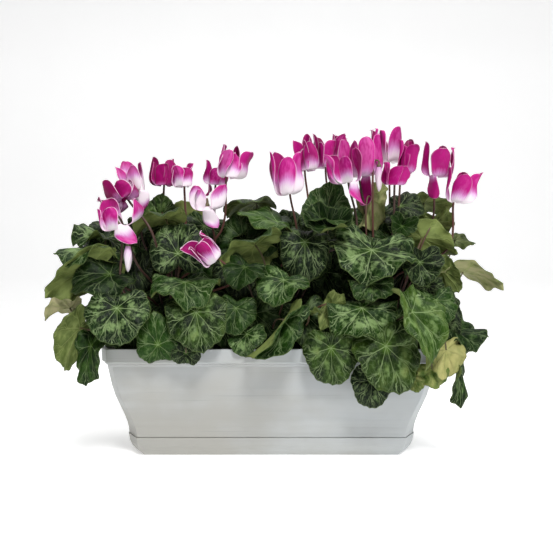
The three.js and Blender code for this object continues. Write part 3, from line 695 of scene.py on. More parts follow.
@dataclass(frozen=True)
class LeafBack:
    """The underside of a cyclamen leaf: matt olive with raised veins, with painted shade on leaves deep in
    the foliage.
    """

    olive: Colour = linear(124, 138, 76)
    dull: Colour = linear(76, 90, 42)
    vein: Colour = linear(146, 158, 92)
    brown: Colour = linear(158, 152, 116)
    # The colour of the painted shade that darkens leaves deep in the foliage.
    shade: Colour = linear(6, 9, 4)
    gloss: float = 0.18
    relief: float = 0.9 * MM

    def material(self) -> bpy.types.Material:
        """The finish of leaves seen from below.

        Returns:
            The material.
        """
        shader = Shader("leaf_back", 0.62, Specular_IOR_Level=self.gloss)
        u, v, spread = shader.parts(shader.attribute("blade"))
        _, yellowing_and_painted_shade, shade = shader.parts(shader.attribute("tone"))
        here = shader.vector(u + shade * LEAF_STEP, v, 0.0)
        cloud = shader.noise(here, 3.0, 4.0)
        _, veins, main_vein = veined(shader, u, v, spread, here)
        shader.colour(
            self.dull,
            (self.olive, shader.step(cloud + (shade - 0.5) * 0.3, 0.3, 0.66)),
            (self.brown, shader.step(yellowing_and_painted_shade + (cloud - 0.5) * 0.8, 0.1, 0.7)),
            (self.vein, veins * 0.5),
            # Painted shade: an age value below 0 darkens the leaf.
            (self.shade, shader.step(yellowing_and_painted_shade, 0.0, -1.0)),
        )
        shader.relief(main_vein + veins * 0.5 + cloud * 0.3, self.relief, 0.7)
        return shader.material


def veined(shader: Shader, u: Sock, v: Sock, spread: Sock, here: Sock) -> tuple[Sock, Sock, Sock]:
    """A leaf's veins, which spread from its stalk and fork twice before the margin.

    Args:
        shader: The material that is being made.
        u: The point's place across the leaf.
        v: Its place along the leaf.
        spread: Its share of the way from the stalk to the margin.
        here: Its place for noises.

    Returns:
        Its turn from the tip, all the veins, and the main veins alone.
    """
    bend, tremble = shader.noise(here, 2.4, 2.0), shader.noise(here, 7.0, 2.0)
    wander = ((bend - 0.5) * 0.2 + (tremble - 0.5) * 0.05) * spread
    turn = shader.maths("ARCTAN2", u, v) / math.pi + wander
    phase = shader.maths("FRACT", turn * Leaf.veins + 0.5)
    away = abs(phase - 0.5)
    first = abs(away - shader.step(spread, 0.3, 1.1) * 0.34)
    second = abs(first - shader.step(spread, 0.58, 1.1) * 0.13)
    main_vein = shader.step(away * spread, 0.024, 0.008)
    fork = shader.step(first * spread, 0.02, 0.006) * shader.step(spread, 0.34, 0.44)
    twig = shader.step(second * spread, 0.016, 0.005) * shader.step(spread, 0.6, 0.68) * 0.8
    veins = shader.larger(main_vein, shader.larger(fork * 0.7, twig * 0.7))
    return turn, veins, main_vein


@dataclass(frozen=True)
class PetalSkin:
    """A petal: magenta over a white base, with fine streaks, a pale rim, painted highlights and painted shade
    on the far petals.
    """

    magenta: Colour = linear(178, 16, 120)
    dark: Colour = linear(130, 4, 78)
    bright: Colour = linear(202, 42, 146)
    highlight_pink: Colour = linear(208, 98, 168)
    lilac: Colour = linear(212, 142, 208)
    white: Colour = linear(240, 228, 236)
    rim: Colour = linear(246, 206, 232)
    gloss: float = 0.2
    relief: float = 0.5 * MM

    def material(self) -> bpy.types.Material:
        """The finish of petals, on both faces.

        Returns:
            The material.
        """
        shader = Shader("petal_skin", 0.55, Specular_IOR_Level=self.gloss)
        side, up, seed = shader.parts(shader.attribute("petal"))
        # The depth holds the flower's own colour depth, with painted shade added on its far petals.
        whiteness, depth, rimming = shader.parts(shader.attribute("tint"))
        along = shader.vector(side * 5.0 + seed, up * 0.9, 0.0)
        streak = shader.noise(along, 3.0, 4.0)
        cloud = shader.noise(shader.vector(side + seed, up * 1.5, 0.0), 2.2, 2.0)
        rise = up - whiteness + (streak - 0.5) * 0.3 + (side * side) * 0.1
        # Painted highlights towards the middle of the petals, fewer on deep and far petals.
        painted_highlight = shader.step(streak * 0.5 + cloud * 0.7 - depth * 0.7, 0.28, 0.62)
        edge = shader.larger(shader.step(abs(side), 0.9, 0.97), shader.step(up, 0.965, 0.99))
        shader.colour(
            self.magenta,
            (self.bright, shader.step(cloud - depth * 0.35, 0.3, 0.56)),
            (self.highlight_pink, painted_highlight * shader.step(abs(side), 1.0, 0.4) * 0.7),
            (self.dark, shader.step(depth + (cloud - 0.5) * 0.7, 0.35, 0.95)),
            (self.lilac, shader.step(rise, 0.26, -0.12)),
            (self.white, shader.step(rise, 0.08, -0.26)),
            (self.rim, edge * rimming),
            (self.dark, shader.step(streak, 0.56, 0.72) * shader.step(rise, 0.05, 0.3) * 0.4),
        )
        shader.relief(streak, self.relief, 0.45)
        return shader.material


@dataclass(frozen=True)
class StalkSkin:
    """A leaf's or a flower's stalk: brown-red, paler and greener towards its top."""

    red: Colour = linear(92, 54, 44)
    brown: Colour = linear(66, 44, 36)
    green: Colour = linear(112, 116, 76)
    relief: float = 0.3 * MM

    def material(self) -> bpy.types.Material:
        """The finish of stalks and calyxes.

        Returns:
            The material.
        """
        shader = Shader("stalk_skin", 0.5)
        along, kind, seed = shader.parts(shader.attribute("stem"))
        speck = shader.noise(shader.place((1.0, 1.0, 0.3)), 900.0, 2.0)
        red = shader.step(seed + (speck - 0.5) * 0.8, 0.2, 0.8)
        shader.colour(self.brown, (self.red, red), (self.green, shader.step(along + kind * 0.3, 0.55, 1.3)))
        shader.relief(speck, self.relief, 0.5)
        return shader.material


# What a mesh holds at a point: the same vector everywhere, or one worked out from x and t.
Layer = Callable[[float, float], Vector] | Vector


class Piece:
    """One visible piece: a bmesh that becomes an object in the shared frame."""

    def __init__(self, name: str) -> None:
        """Starts an empty piece with a plain name."""
        self.name = name
        self.bm = bmesh.new()

    def vectors(self, name: str) -> bmesh.types.BMLayerItem:
        """A layer of vectors at the vertices, made where it is missing."""
        layers = self.bm.verts.layers.float_vector
        return layers.get(name) or layers.new(name)

    def patch(
        self,
        across: int,
        along: int,
        place: Callable[[float, float], Vector],
        layers: dict[str, Layer],
    ) -> list[bmesh.types.BMFace]:
        """Adds a grid and moves its points to a surface.

        Args:
            across: Its squares across.
            along: Its squares along.
            place: The surface's point at x from -1 to 1 and t from 0 to 1.
            layers: What each named layer holds at x and t.

        Returns:
            The faces.
        """
        held = {self.vectors(name): value for name, value in layers.items()}
        made = bmesh.ops.create_grid(self.bm, x_segments=across, y_segments=along, size=1.0)
        verts = made["verts"]
        faces = list({face for vert in verts for face in vert.link_faces})
        for vert in verts:
            x, t = vert.co.x, (vert.co.y + 1) / 2
            for layer, value in held.items():
                vert[layer] = value(x, t) if callable(value) else value
            vert.co = place(x, t)
        bmesh.ops.remove_doubles(self.bm, verts=verts, dist=1e-6)
        faces = [face for face in faces if face.is_valid]
        smooth_faces(faces)
        return faces

    def close(self, faces: list[bmesh.types.BMFace]) -> None:
        """Caps the open ends of a patch that closes round, and turns its faces outward.

        Args:
            faces: The patch's faces.
        """
        rims = list({edge for face in faces for edge in face.edges if edge.is_boundary})
        caps = bmesh.ops.holes_fill(self.bm, edges=rims, sides=0)["faces"]
        bmesh.ops.recalc_face_normals(self.bm, faces=[*faces, *caps])

    def turn_towards(self, faces: list[bmesh.types.BMFace], up: Vector) -> None:
        """Flips the faces of an open sheet if they look away from a direction.

        Args:
            faces: The sheet's faces.
            up: Where they look.
        """
        total = Vector()
        for face in faces:
            face.normal_update()
            total += face.normal * face.calc_area()
        if total.dot(up) < 0:
            bmesh.ops.reverse_faces(self.bm, faces=faces)

    def tube(
        self,
        centres: Sequence[Vector],
        radii: Sequence[float],
        sides: int,
        layers: dict[str, Layer],
    ) -> None:
        """Adds a closed tube along a line of centres.

        Args:
            centres: The points of its centreline.
            radii: Its radius at each.
            sides: How many sides it has.
            layers: What each named layer holds at x round it and t along it.
        """
        last = len(centres) - 1
        ahead = (centres[1] - centres[0]).normalized()
        beside = off_axis(Vector((1.0, 0.3, 0.1)), ahead)
        frames = []
        for k, centre in enumerate(centres):
            ahead = (centres[min(last, k + 1)] - centres[max(0, k - 1)]).normalized()
            beside = off_axis(beside, ahead)
            frames.append((centre, beside, ahead.cross(beside), radii[k]))

        def place(x: float, t: float) -> Vector:
            """The tube's point.

            Args:
                x: From -1 to 1 round it.
                t: From 0 to 1 along it.

            Returns:
                The point.
            """
            centre, first, second, radius = frames[round(t * last)]
            angle = math.pi * x
            return centre + radius * (first * math.cos(angle) + second * math.sin(angle))

        self.close(self.patch(sides, last, place, layers))

    def finish(
        self,
        materials: Sequence[bpy.types.Material],
        slot: str,
        replaced: Sequence[str] = (),
        thickness: float = 0.0,
    ) -> bpy.types.Object:
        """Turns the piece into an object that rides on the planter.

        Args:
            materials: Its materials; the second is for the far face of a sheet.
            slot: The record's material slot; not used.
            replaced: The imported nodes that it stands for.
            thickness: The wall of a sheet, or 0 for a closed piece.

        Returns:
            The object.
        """
        mesh = bpy.data.meshes.new(self.name)
        self.bm.to_mesh(mesh)
        self.bm.free()
        for material in materials:
            mesh.materials.append(material)
        made = added(self.name, mesh)
        if thickness:
            wall = made.modifiers.new("wall", "SOLIDIFY")
            wall.thickness = thickness
            wall.offset = 0.0
            wall.use_even_offset = False
            wall.material_offset = min(1, len(materials) - 1)
            wall.material_offset_rim = 0
        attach(made, BODY)
        if replaced:
            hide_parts(*replaced)
        LOG.info("%s: %d vertices", self.name, len(mesh.vertices))
        return made


@dataclass(frozen=True)
class Look:
    """What sets one leaf apart: its marbling, its age above 0 and its painted shade below 0, its hollow,
    waves and notch.
    """

    silvering: float = 0.6
    yellowing_and_painted_shade: float = 0.0
    cup: float = 0.0
    waves: float = 1.0
    notch: float = 0.5


@dataclass
class Leaf:
    """One leaf with its place worked out, and the shares that its margin, waves and bulges have."""

    seed: int
    crown: float
    root: Vector
    tip: Vector
    width: float
    facing: Sequence[float]
    fold: float
    arch: float
    look: Look
    fine: bool = True
    upper: Vector = field(init=False)
    reach: float = field(init=False)
    frame: Matrix = field(init=False)

    outline: tuple[Pair, ...] = (
        (-0.3, 0.95),
        (0, 1),
        (0.47, 0.85),
        (0.85, 0.52),
        (1, 0.13),
        (0.97, -0.2),
        (0.74, -0.43),
        (0.38, -0.48),
        (0, -0.13),
    )
    notch_depth: float = 0.3
    teeth: int = 7
    tooth: float = 0.03
    scallops: int = 23
    scallop: float = 0.016
    margin_waves: int = 4
    margin_wave: float = 0.07
    frills: int = 11
    frill: float = 0.028
    droop: float = 0.07
    bulge: float = 0.026
    veins: float = 4.5
    soft_fold: float = 2.5 * MM
    wall: float = 0.8 * MM
    fine_grid: tuple[int, int] = (84, 12)
    plain_grid: tuple[int, int] = (56, 8)

    def __post_init__(self) -> None:
        """Works out the leaf's own axes: X across, Y from stalk to tip and Z out of its upper face."""
        along = self.tip - self.root
        self.reach = along.length
        along.normalize()
        self.upper = off_axis(Vector(self.facing), along)
        self.frame = basis(along.cross(self.upper), along, self.upper, self.root)

    def flat(self, spread: float, turn: float) -> tuple[float, float]:
        """A point of the flat leaf, across in half widths and along in lengths.

        Args:
            spread: 0 at the stalk and 1 at the margin.
            turn: 0 towards the tip and 1 or -1 at the notch.

        Returns:
            How far across and how far along.
        """
        stretches = len(self.outline) - 1
        edge = evenly_spline(self.outline, mix(1 / stretches, 1, abs(turn)))
        fade = min(1.0, (1 - abs(turn)) / 0.1)
        coarse = self.tooth * math.sin(turn * self.teeth * math.pi + self.seed)
        scalloped = self.scallop * math.cos(turn * self.scallops * math.pi) * fade
        tooth = 1 + coarse + scalloped
        across = edge.x * math.copysign(1, turn) * spread * tooth
        closed = self.notch_depth * self.look.notch * smooth(abs(turn), 0.86, 1.0)
        return across, (edge.y - closed) * spread * mix(1, tooth, fade)

    def pucker(self, across: float, along: float, spread: float) -> float:
        """How far the leaf bulges between its veins, from 0 to 1.

        Args:
            across: The flat leaf's point across.
            along: The same along.
            spread: Its share of the way out.

        Returns:
            The share of the full bulge.
        """
        phase = math.atan2(across, along) / math.pi * self.veins + 0.5
        away = abs(phase - math.floor(phase) - 0.5)
        return smooth(away, 0.0, 0.34) * smooth(spread, 0.1, 0.55) * smooth(1 - spread, -0.35, 0.35)

    def surface(self, spread: float, turn: float) -> Vector:
        """A point of the leaf in its place.

        Args:
            spread: 0 at the stalk and 1 at the margin.
            turn: 0 towards the tip and 1 or -1 at the notch.

        Returns:
            The point.
        """
        across, along = self.flat(spread, turn)
        x = across * self.width / 2
        arch = self.arch * self.reach * along * (1 - along)
        margin = (1 - turn**4) * self.look.waves
        waving = math.sin(self.margin_waves * math.pi * turn + self.seed) * spread**2 * margin
        wave = self.margin_wave * self.width * waving
        frilling = math.sin(self.frills * math.pi * turn + 2.4 * self.seed) * spread**4 * margin
        frill = self.frill * self.width * frilling
        bulge = self.bulge * self.width * self.pucker(across, along, spread)
        bowl = (self.look.cup * spread**2 - self.droop * spread**4) * self.width
        fold = math.radians(self.fold)
        side = math.hypot(x, self.soft_fold) - self.soft_fold
        height = side * math.sin(fold) + arch + wave + frill + bulge + bowl
        return self.frame @ Vector((x * math.cos(fold), along * self.reach, height))

    def build(self, piece: Piece) -> None:
        """Adds the leaf's blade to a piece.

        Args:
            piece: The piece of leaves.
        """
        tone = Vector((self.look.silvering, self.look.yellowing_and_painted_shade, drawn(self.seed + 0.31)))

        def spread_at(t: float) -> float:
            """Draws the rings together towards the margin."""
            return t * (1.3 - 0.3 * t)

        def place(x: float, t: float) -> Vector:
            """The leaf's point."""
            return self.surface(spread_at(t), x)

        def blade(x: float, t: float) -> Vector:
            """What the materials read there: the flat leaf's point and its spread."""
            across, along = self.flat(spread_at(t), x)
            return Vector((across, along, spread_at(t)))

        grid = self.fine_grid if self.fine else self.plain_grid
        piece.turn_towards(piece.patch(*grid, place, {"blade": blade, "tone": tone}), self.upper)


@dataclass
class Flower:
    """One open flower: five petals swept back from a short throat, on a hooked stalk."""

    seed: int
    crown: float
    foot: Vector
    top: Vector
    spread: float
    bearing: float
    fallen: tuple[int, ...] = ()
    whiteness: float = 0.3
    depth: float = 0.4
    rimming: float = 0.4
    height: float = field(init=False)
    up: Vector = field(init=False)
    frame: Matrix = field(init=False)

    slot: str = "petal"
    wall: float = 0.7 * MM
    petal_count: int = 5
    spacing: float = 1.08
    gap: float = 0.3 * MM
    calyx_foot: float = 4.5 * MM
    calyx_radius: float = 3.6 * MM
    calyx_shares: tuple[float, ...] = (1.0, 0.96, 0.8, 0.55)
    throat: float = 4.4 * MM
    throat_level: float = calyx_foot - gap - 0.45 * MM
    throat_grid: tuple[int, int] = (20, 3)
    throat_tint: Triple = (-0.4, 0.9, 0.0)
    hook: tuple[Pair, ...] = ((9.5, -6), (9, 8), (5.5, 15), (0.6, 14), (0, 4.5))
    stalk_radius: float = 1.75 * MM
    stalk_taper: Pair = (1.1, 0.85)
    stalk_sides: int = 8
    stalk_ring: float = 2.4 * MM
    stalk_foot: float = 7 * MM

    def __post_init__(self) -> None:
        """Works out the flower's own axes: Z along its petals and X towards its open side."""
        self.up = self.top - self.foot
        self.height = self.up.length
        self.up.normalize()
        side = off_axis(round_about(math.radians(self.bearing), 1.0), self.up)
        self.frame = basis(side, self.up.cross(side), self.up, self.foot)

    def build(self, name: str, skin: bpy.types.Material) -> None:
        """Makes the petals as one piece, in the place of their node.

        Args:
            name: The node's name.
            skin: The petals' material.
        """
        piece = Piece(f"{name}_petals")
        self.petals(piece)
        piece.finish([skin], self.slot, [name], self.wall)

    def petals(self, piece: Piece) -> None:
        """Adds the petals and the floor that closes their tube.

        Args:
            piece: The flower's piece.
        """
        for number in range(self.petal_count):
            Petal(self, number).build(piece)

        def place(x: float, t: float) -> Vector:
            """The floor's point."""
            return self.frame @ round_about(math.pi * x, self.throat * t, self.throat_level)

        layers = {"petal": lambda x, t: Vector((x, 0.02, 0.0)), "tint": Vector(self.throat_tint)}
        piece.turn_towards(piece.patch(*self.throat_grid, place, layers), self.up)

    def stalk_line(self) -> list[Vector]:
        """The stalk's centreline, from the tuber to the calyx.

        Returns:
            Its points.
        """
        order = self.seed % 10
        ring = self.stalk_ring * math.sqrt(order + 0.6)
        start = round_about(TURN * order, ring, SOIL_TOP + self.stalk_foot)
        start.x += self.crown
        hook = [self.frame @ Vector((x * MM, 0, z * MM)) for x, z in self.hook]
        below = hook[0] - self.up * 0.3 * (hook[0].z - start.z)
        rise = Vector((start.x, start.y, mix(start.z, hook[0].z, 0.4))).lerp(below, 0.25)
        return Route.spline([start, rise, below, *hook], 6)

    def stalk(self, piece: Piece) -> None:
        """Adds the flower's stalk and its calyx to a piece of stalks.

        Args:
            piece: The plant's stalks.
        """
        line = self.stalk_line()
        last = len(line) - 1
        radii = [self.stalk_radius * mix(*self.stalk_taper, k / last) for k in range(last + 1)]
        for back, share in enumerate(self.calyx_shares):
            radii[last - back] = max(radii[last - back], self.calyx_radius * share)
        tone = drawn(self.seed + 0.13)
        piece.tube(line, radii, self.stalk_sides, {"stem": lambda x, t: Vector((t, 0.0, tone))})


@dataclass
class Petal:
    """One petal of a flower, swept back or hanging down, with its number round the flower."""

    flower: Flower
    number: int

    grid: tuple[int, int] = (16, 24)
    width: float = 8.4 * MM
    widening: float = 0.26
    lengths: Pair = (0.82, 1.06)
    nearer: Pair = (1.12, 0.86)
    lean_range: Pair = (-0.25, 0.85)
    spreading: Pair = (0.65, 1.45)
    # Its second row: distance from the flower's axis, height and half width.
    neck: Triple = (9.6 * MM, -1.2 * MM, 5.0 * MM)
    # Its other rows: share of the way out from the bend to the spread, of its length and of its half width.
    bend: float = 11 * MM
    rise: tuple[Triple, ...] = ((0.64, 0.06, 0.8), (0.95, 0.36, 0.98), (1.0, 0.72, 1.02), (0.98, 1.0, 0.88))
    twist_range: Pair = (0.22, 0.8)
    # Where its rounded tip starts, how full that is and how blunt.
    tip: float = 0.66
    fullness: float = 2.8
    blunting_range: Pair = (0.4, 0.74)
    lopsided_most: float = 0.3
    slant_most: float = 5 * MM
    crest_height: float = 3 * MM
    cup_depth: float = 3.6 * MM
    cupped_from: float = 8 * MM
    ruffle_range: Pair = (1.6 * MM, 4.6 * MM)
    flare_range: Pair = (-5 * MM, 12 * MM)
    # What is different where it hangs down.
    hanging_length: float = -0.72
    hanging_spread: float = 12 * MM
    hanging_width: float = 0.84
    hanging_neck: Triple = (9.6 * MM, -1.2 * MM, 8.2 * MM)
    hanging_blunting: float = 0.42
    # How far its whiteness and its darkness stray from its flower's, and the painted shade on petals at the
    # far side.
    stray: Pair = (0.24, 0.5)
    far_side_painted_shade: float = 0.25

    def __post_init__(self) -> None:
        """Draws the petal's size, lean, twist, waves and tint."""
        flower = self.flower
        seed = flower.seed + 10 * self.number
        self.fallen = self.number in flower.fallen
        self.bearing = math.pi + (self.number - 2) * flower.spacing
        self.outward = flower.frame.to_3x3() @ round_about(self.bearing, 1.0)
        near = 0.5 - 0.5 * self.outward.y
        self.length = flower.height * mix(*self.lengths, drawn(seed + 0.7))
        self.length *= self.hanging_length if self.fallen else mix(*self.nearer, near)
        self.rows = self.row_sizes(mix(*self.spreading, drawn(seed + 0.8)))
        self.lean = mix(*self.lean_range, drawn(seed))
        self.twist = mix(*self.twist_range, drawn(seed + 0.15))
        blunting = mix(*self.blunting_range, drawn(seed + 0.35))
        self.blunting = self.hanging_blunting if self.fallen else blunting
        self.lopsided = self.lopsided_most * (2 * drawn(seed + 0.65) - 1)
        self.ruffle = mix(*self.ruffle_range, drawn(seed + 0.2))
        self.flare = mix(*self.flare_range, drawn(seed + 0.9))
        self.crest = self.crest_height * (-1 if self.fallen else 1)
        self.slant = self.slant_most * (1 - 2 * drawn(seed + 0.95))
        self.phase = 6 * drawn(seed + 0.4)
        self.grain = 1.7 * seed
        whiter = self.stray[0] * (drawn(seed + 0.25) - 0.5)
        # Petals on the flower's far side get painted shade, besides their random darkness.
        darker_and_painted_shade = self.stray[1] * (drawn(seed + 0.55) - 0.5) + self.far_side_painted_shade * (1 - near)
        self.tint = Vector((flower.whiteness + whiter, flower.depth + darker_and_painted_shade, flower.rimming))

    def row_sizes(self, spreading: float) -> list[tuple[float, float, float]]:
        """The petal's rows, from its throat to its tip.

        Args:
            spreading: Its spread as a share of its flower's.

        Returns:
            Each row's distance from the flower's axis, its height and its half width.
        """
        flower = self.flower
        broad = self.width + self.widening * flower.spread
        spread = flower.spread * spreading
        if self.fallen:
            broad, spread = broad * self.hanging_width, self.hanging_spread
        throat = (flower.throat, flower.throat_level, flower.throat * math.sin(flower.spacing / 2))
        rows = [throat, self.hanging_neck if self.fallen else self.neck]
        for out, up, share in self.rise:
            rows.append((mix(self.bend, spread, out), up * self.length, share * broad))
        return rows

    def row(self, t: float) -> Vector:
        """The sizes of the row at a share of its grid, where rows draw together towards the tip."""
        return evenly_spline(self.rows, self.towards_tip(t))

    @staticmethod
    def towards_tip(t: float) -> float:
        """The share of the petal's length at a share of its grid."""
        return t * (1.5 - 0.5 * t)

    def surface(self, x: float, t: float) -> Vector:
        """The petal's point.

        Args:
            x: From -1 to 1 across it.
            t: From 0 to 1 along it.

        Returns:
            The point.
        """
        radius, height, half = self.row(t)
        t = self.towards_tip(t)
        rounding = max(0.0, (t - self.tip) / (1 - self.tip))
        half *= max(0.0, 1 - rounding**self.fullness) ** self.blunting * (1 + self.lopsided * x)
        twist = self.twist * min(1.0, 2 * t)
        wavy = self.ruffle * math.sin(8 * t + self.phase + 1.5 * x) * x * x * smooth(t, 0.3, 0.8)
        cup = self.cup_depth * smooth(t, 0.1, 0.7) * x * x * min(1.0, half / self.cupped_from)
        out = radius + x * half * math.sin(twist) - cup + wavy + self.flare * smooth(t, self.tip, 1.1)
        beside = x * half * math.cos(twist)
        angle = self.bearing + self.lean * smooth(t, 0.15, 1.2)
        free = round_about(angle, out) + round_about(angle + math.pi / 2, beside)
        tied = round_about(self.bearing + x * self.flower.spacing / 2, radius)
        where = tied.lerp(free, min(1.0, 5 * t))
        uneven = self.slant * x + self.crest * math.sin(3.5 * x + self.phase)
        where.z = height + uneven * smooth(t, 0.5, 0.8) * (1 - rounding)
        return self.flower.frame @ where

    def build(self, piece: Piece) -> None:
        """Adds the petal to a piece.

        Args:
            piece: The flower's piece.
        """
        layers = {
            "petal": lambda x, t: Vector((x, self.row(t).y / self.length, self.grain)),
            "tint": self.tint,
        }
        piece.turn_towards(piece.patch(*self.grid, self.surface, layers), self.outward)


@dataclass
class Bud(Flower):
    """A closed bud, its petals rolled to a point below a brown calyx."""

    # Its radius in millimetres and how far down it is, from the tip up into the calyx.
    profile: tuple[Pair, ...] = (
        (0, 1),
        (2.0, 0.93),
        (3.6, 0.8),
        (5.8, 0.5),
        (6.4, 0.3),
        (5.2, 0.08),
        (3.6, -0.1),
    )
    slot: str = "bud"
    wall: float = 0.0
    grid: tuple[int, int] = (30, 24)
    twist_turns: float = 0.35
    folds: int = 5
    fold_depth: float = 0.1
    tint: Triple = (0.42, 0.1, 0.0)

    def petals(self, piece: Piece) -> None:
        """Adds the rolled petals.

        Args:
            piece: The bud's piece.
        """
        top = self.calyx_foot - self.gap
        over = -self.profile[-1][1]

        def place(x: float, t: float) -> Vector:
            """The point of their skin.

            Args:
                x: From -1 to 1 round them.
                t: From 0 to 1 up them.

            Returns:
                The point.
            """
            radius, down = evenly_spline(self.profile, t)
            angle = math.pi * (x + 2 * self.twist_turns * t)
            groove = 1 - self.fold_depth * abs(math.sin(self.folds / 2 * math.pi * x)) ** 0.5
            height = mix(top, -self.height, (down + over) / (1 + over))
            return self.frame @ round_about(angle, radius * MM * groove, height)

        layers = {"petal": lambda x, t: Vector((x * 0.8, t * 0.4, 3.0)), "tint": Vector(self.tint)}
        piece.close(piece.patch(*self.grid, place, layers))


@dataclass
class LeafStalks:
    """The stalks of one plant's leaves."""

    leaves: Sequence[Leaf]
    starts: dict[int, Vector] = field(init=False)

    rings: tuple[Pair, ...] = ((10, 6), (13.5, 4), (17, 1.5))
    blend: float = 0.5
    rise: float = 0.33
    lean: float = 0.22
    approach: float = 0.3
    over_soil: float = 14 * MM
    over_rim: float = 16 * MM
    near_rim: Pair = (215 * MM, 60 * MM)
    climb: Pair = (54 * MM, 42 * MM)
    in_front: float = 2 * MM
    steps: int = 18
    radius: float = 1.5 * MM
    taper: Pair = (1.15, 0.8)
    sides: int = 7

    def __post_init__(self) -> None:
        """Spreads the stalks round the tuber, by their leaves' bearings."""
        ordered = sorted(self.leaves, key=self.from_back)
        self.starts = {}
        for k in range(0, len(ordered), len(self.rings)):
            trio = ordered[k : k + len(self.rings)]
            by_height = sorted(trio, key=lambda leaf: -leaf.root.z)
            for i, leaf in enumerate(trio):
                ring, height = self.rings[by_height.index(leaf)]
                share = mix((k + i + 0.5) / len(ordered), self.from_back(leaf), self.blend)
                start = round_about(2 * math.pi * (0.25 + share), ring * MM, SOIL_TOP + height * MM)
                start.x += leaf.crown
                self.starts[leaf.seed] = start

    @staticmethod
    def from_back(leaf: Leaf) -> float:
        """A leaf's bearing from the crown as a share of a turn from the back."""
        bearing = math.atan2(leaf.root.y, leaf.root.x - leaf.crown) / (2 * math.pi)
        return (bearing + 0.75) % 1

    def line(self, leaf: Leaf) -> list[Vector]:
        """A stalk's centreline, from the tuber to its leaf.

        Args:
            leaf: The leaf.

        Returns:
            Its points.
        """
        start = self.starts[leaf.seed]
        x, y = leaf.root.x - leaf.crown, leaf.root.y
        length = (leaf.root - start).length
        rise = start + Vector((x * self.lean, y * self.lean, length * self.rise))
        under = leaf.root - leaf.upper * self.approach * length
        near_rim = abs(under.x) > self.near_rim[0] or abs(under.y) > self.near_rim[1]
        under.z = max(under.z, RIM_TOP + self.over_rim if near_rim else SOIL_TOP + self.over_soil)
        if leaf.root.z < RIM_TOP:
            rise = Vector((leaf.root.x - x * self.approach, -self.near_rim[1], RIM_TOP + self.climb[0]))
            under = Vector((leaf.root.x, leaf.root.y + self.in_front, RIM_TOP + self.climb[1]))
        return Route.bezier([start, rise, under, leaf.root], self.steps)

    def build(self, piece: Piece) -> None:
        """Adds all the stalks to a piece.

        Args:
            piece: The plant's stalks.
        """
        radii = [self.radius * mix(*self.taper, k / self.steps) for k in range(self.steps + 1)]
        for leaf in self.leaves:
            tone = drawn(leaf.seed + 0.77)
            layers = {"stem": lambda x, t, tone=tone: Vector((t * 0.6, 1.0, tone))}
            piece.tube(self.line(leaf), radii, self.sides, layers)


@dataclass
class Plant:
    """One cyclamen: its tuber, stalks, leaves and flowers."""

    number: int
    leaves: list[Leaf]
    flowers: list[Flower]
    finishes: Finishes
    leaves_a_piece: int = 6
    tuber_radius: float = 24 * MM
    tuber_top: float = 12 * MM
    tuber_foot: float = 18 * MM
    tuber_round: float = 0.97
    lumps: float = 3.1
    lump: float = 0.05

    def build(self) -> None:
        """Makes the plant's pieces, in the place of its node."""
        node = f"plant_{self.number}"
        self.tuber(node)
        stalks = Piece(f"{node}_stalks")
        LeafStalks(self.leaves).build(stalks)
        for flower in self.flowers:
            flower.stalk(stalks)
        stalks.finish([self.finishes.stalk], "foliage", [node])
        for first in range(0, len(self.leaves), self.leaves_a_piece):
            piece = Piece(f"{node}_leaves_{first // self.leaves_a_piece + 1}")
            for leaf in self.leaves[first : first + self.leaves_a_piece]:
                leaf.build(piece)
            piece.finish([self.finishes.leaf_face, self.finishes.leaf_back], "foliage", [node], Leaf.wall)

    def tuber(self, node: str) -> None:
        """Makes the lumpy tuber that the stalks grow from.

        Args:
            node: The plant's node.
        """
        piece = Piece(f"{node}_tuber")
        made = bmesh.ops.create_uvsphere(piece.bm, u_segments=32, v_segments=16, radius=1.0)
        shift = Vector((self.number * 5.0, 0, 0))
        for vert in made["verts"]:
            height = self.tuber_top if vert.co.z > 0 else self.tuber_foot
            lump = 1 + self.lump * noise.noise(vert.co * self.lumps + shift)
            x, y, z = vert.co * lump * self.tuber_round
            x = x * self.tuber_radius + CROWNS[self.number - 1]
            vert.co = (x, y * self.tuber_radius, z * height + SOIL_TOP)
        smooth_faces(piece.bm.faces)
        piece.finish([self.finishes.tuber], "foliage", [node])


@dataclass(frozen=True)
class Finishes:
    """The materials of the whole object."""

    plastic: bpy.types.Material
    soil: bpy.types.Material
    tuber: bpy.types.Material
    leaf_face: bpy.types.Material
    leaf_back: bpy.types.Material
    petal: bpy.types.Material
    stalk: bpy.types.Material

    @classmethod
    def made(cls) -> Finishes:
        """Makes them all."""
        kinds = (MouldedPlastic, PottingSoil, TuberSkin, LeafFace, LeafBack, PetalSkin, StalkSkin)
        return cls(*(kind().material() for kind in kinds))


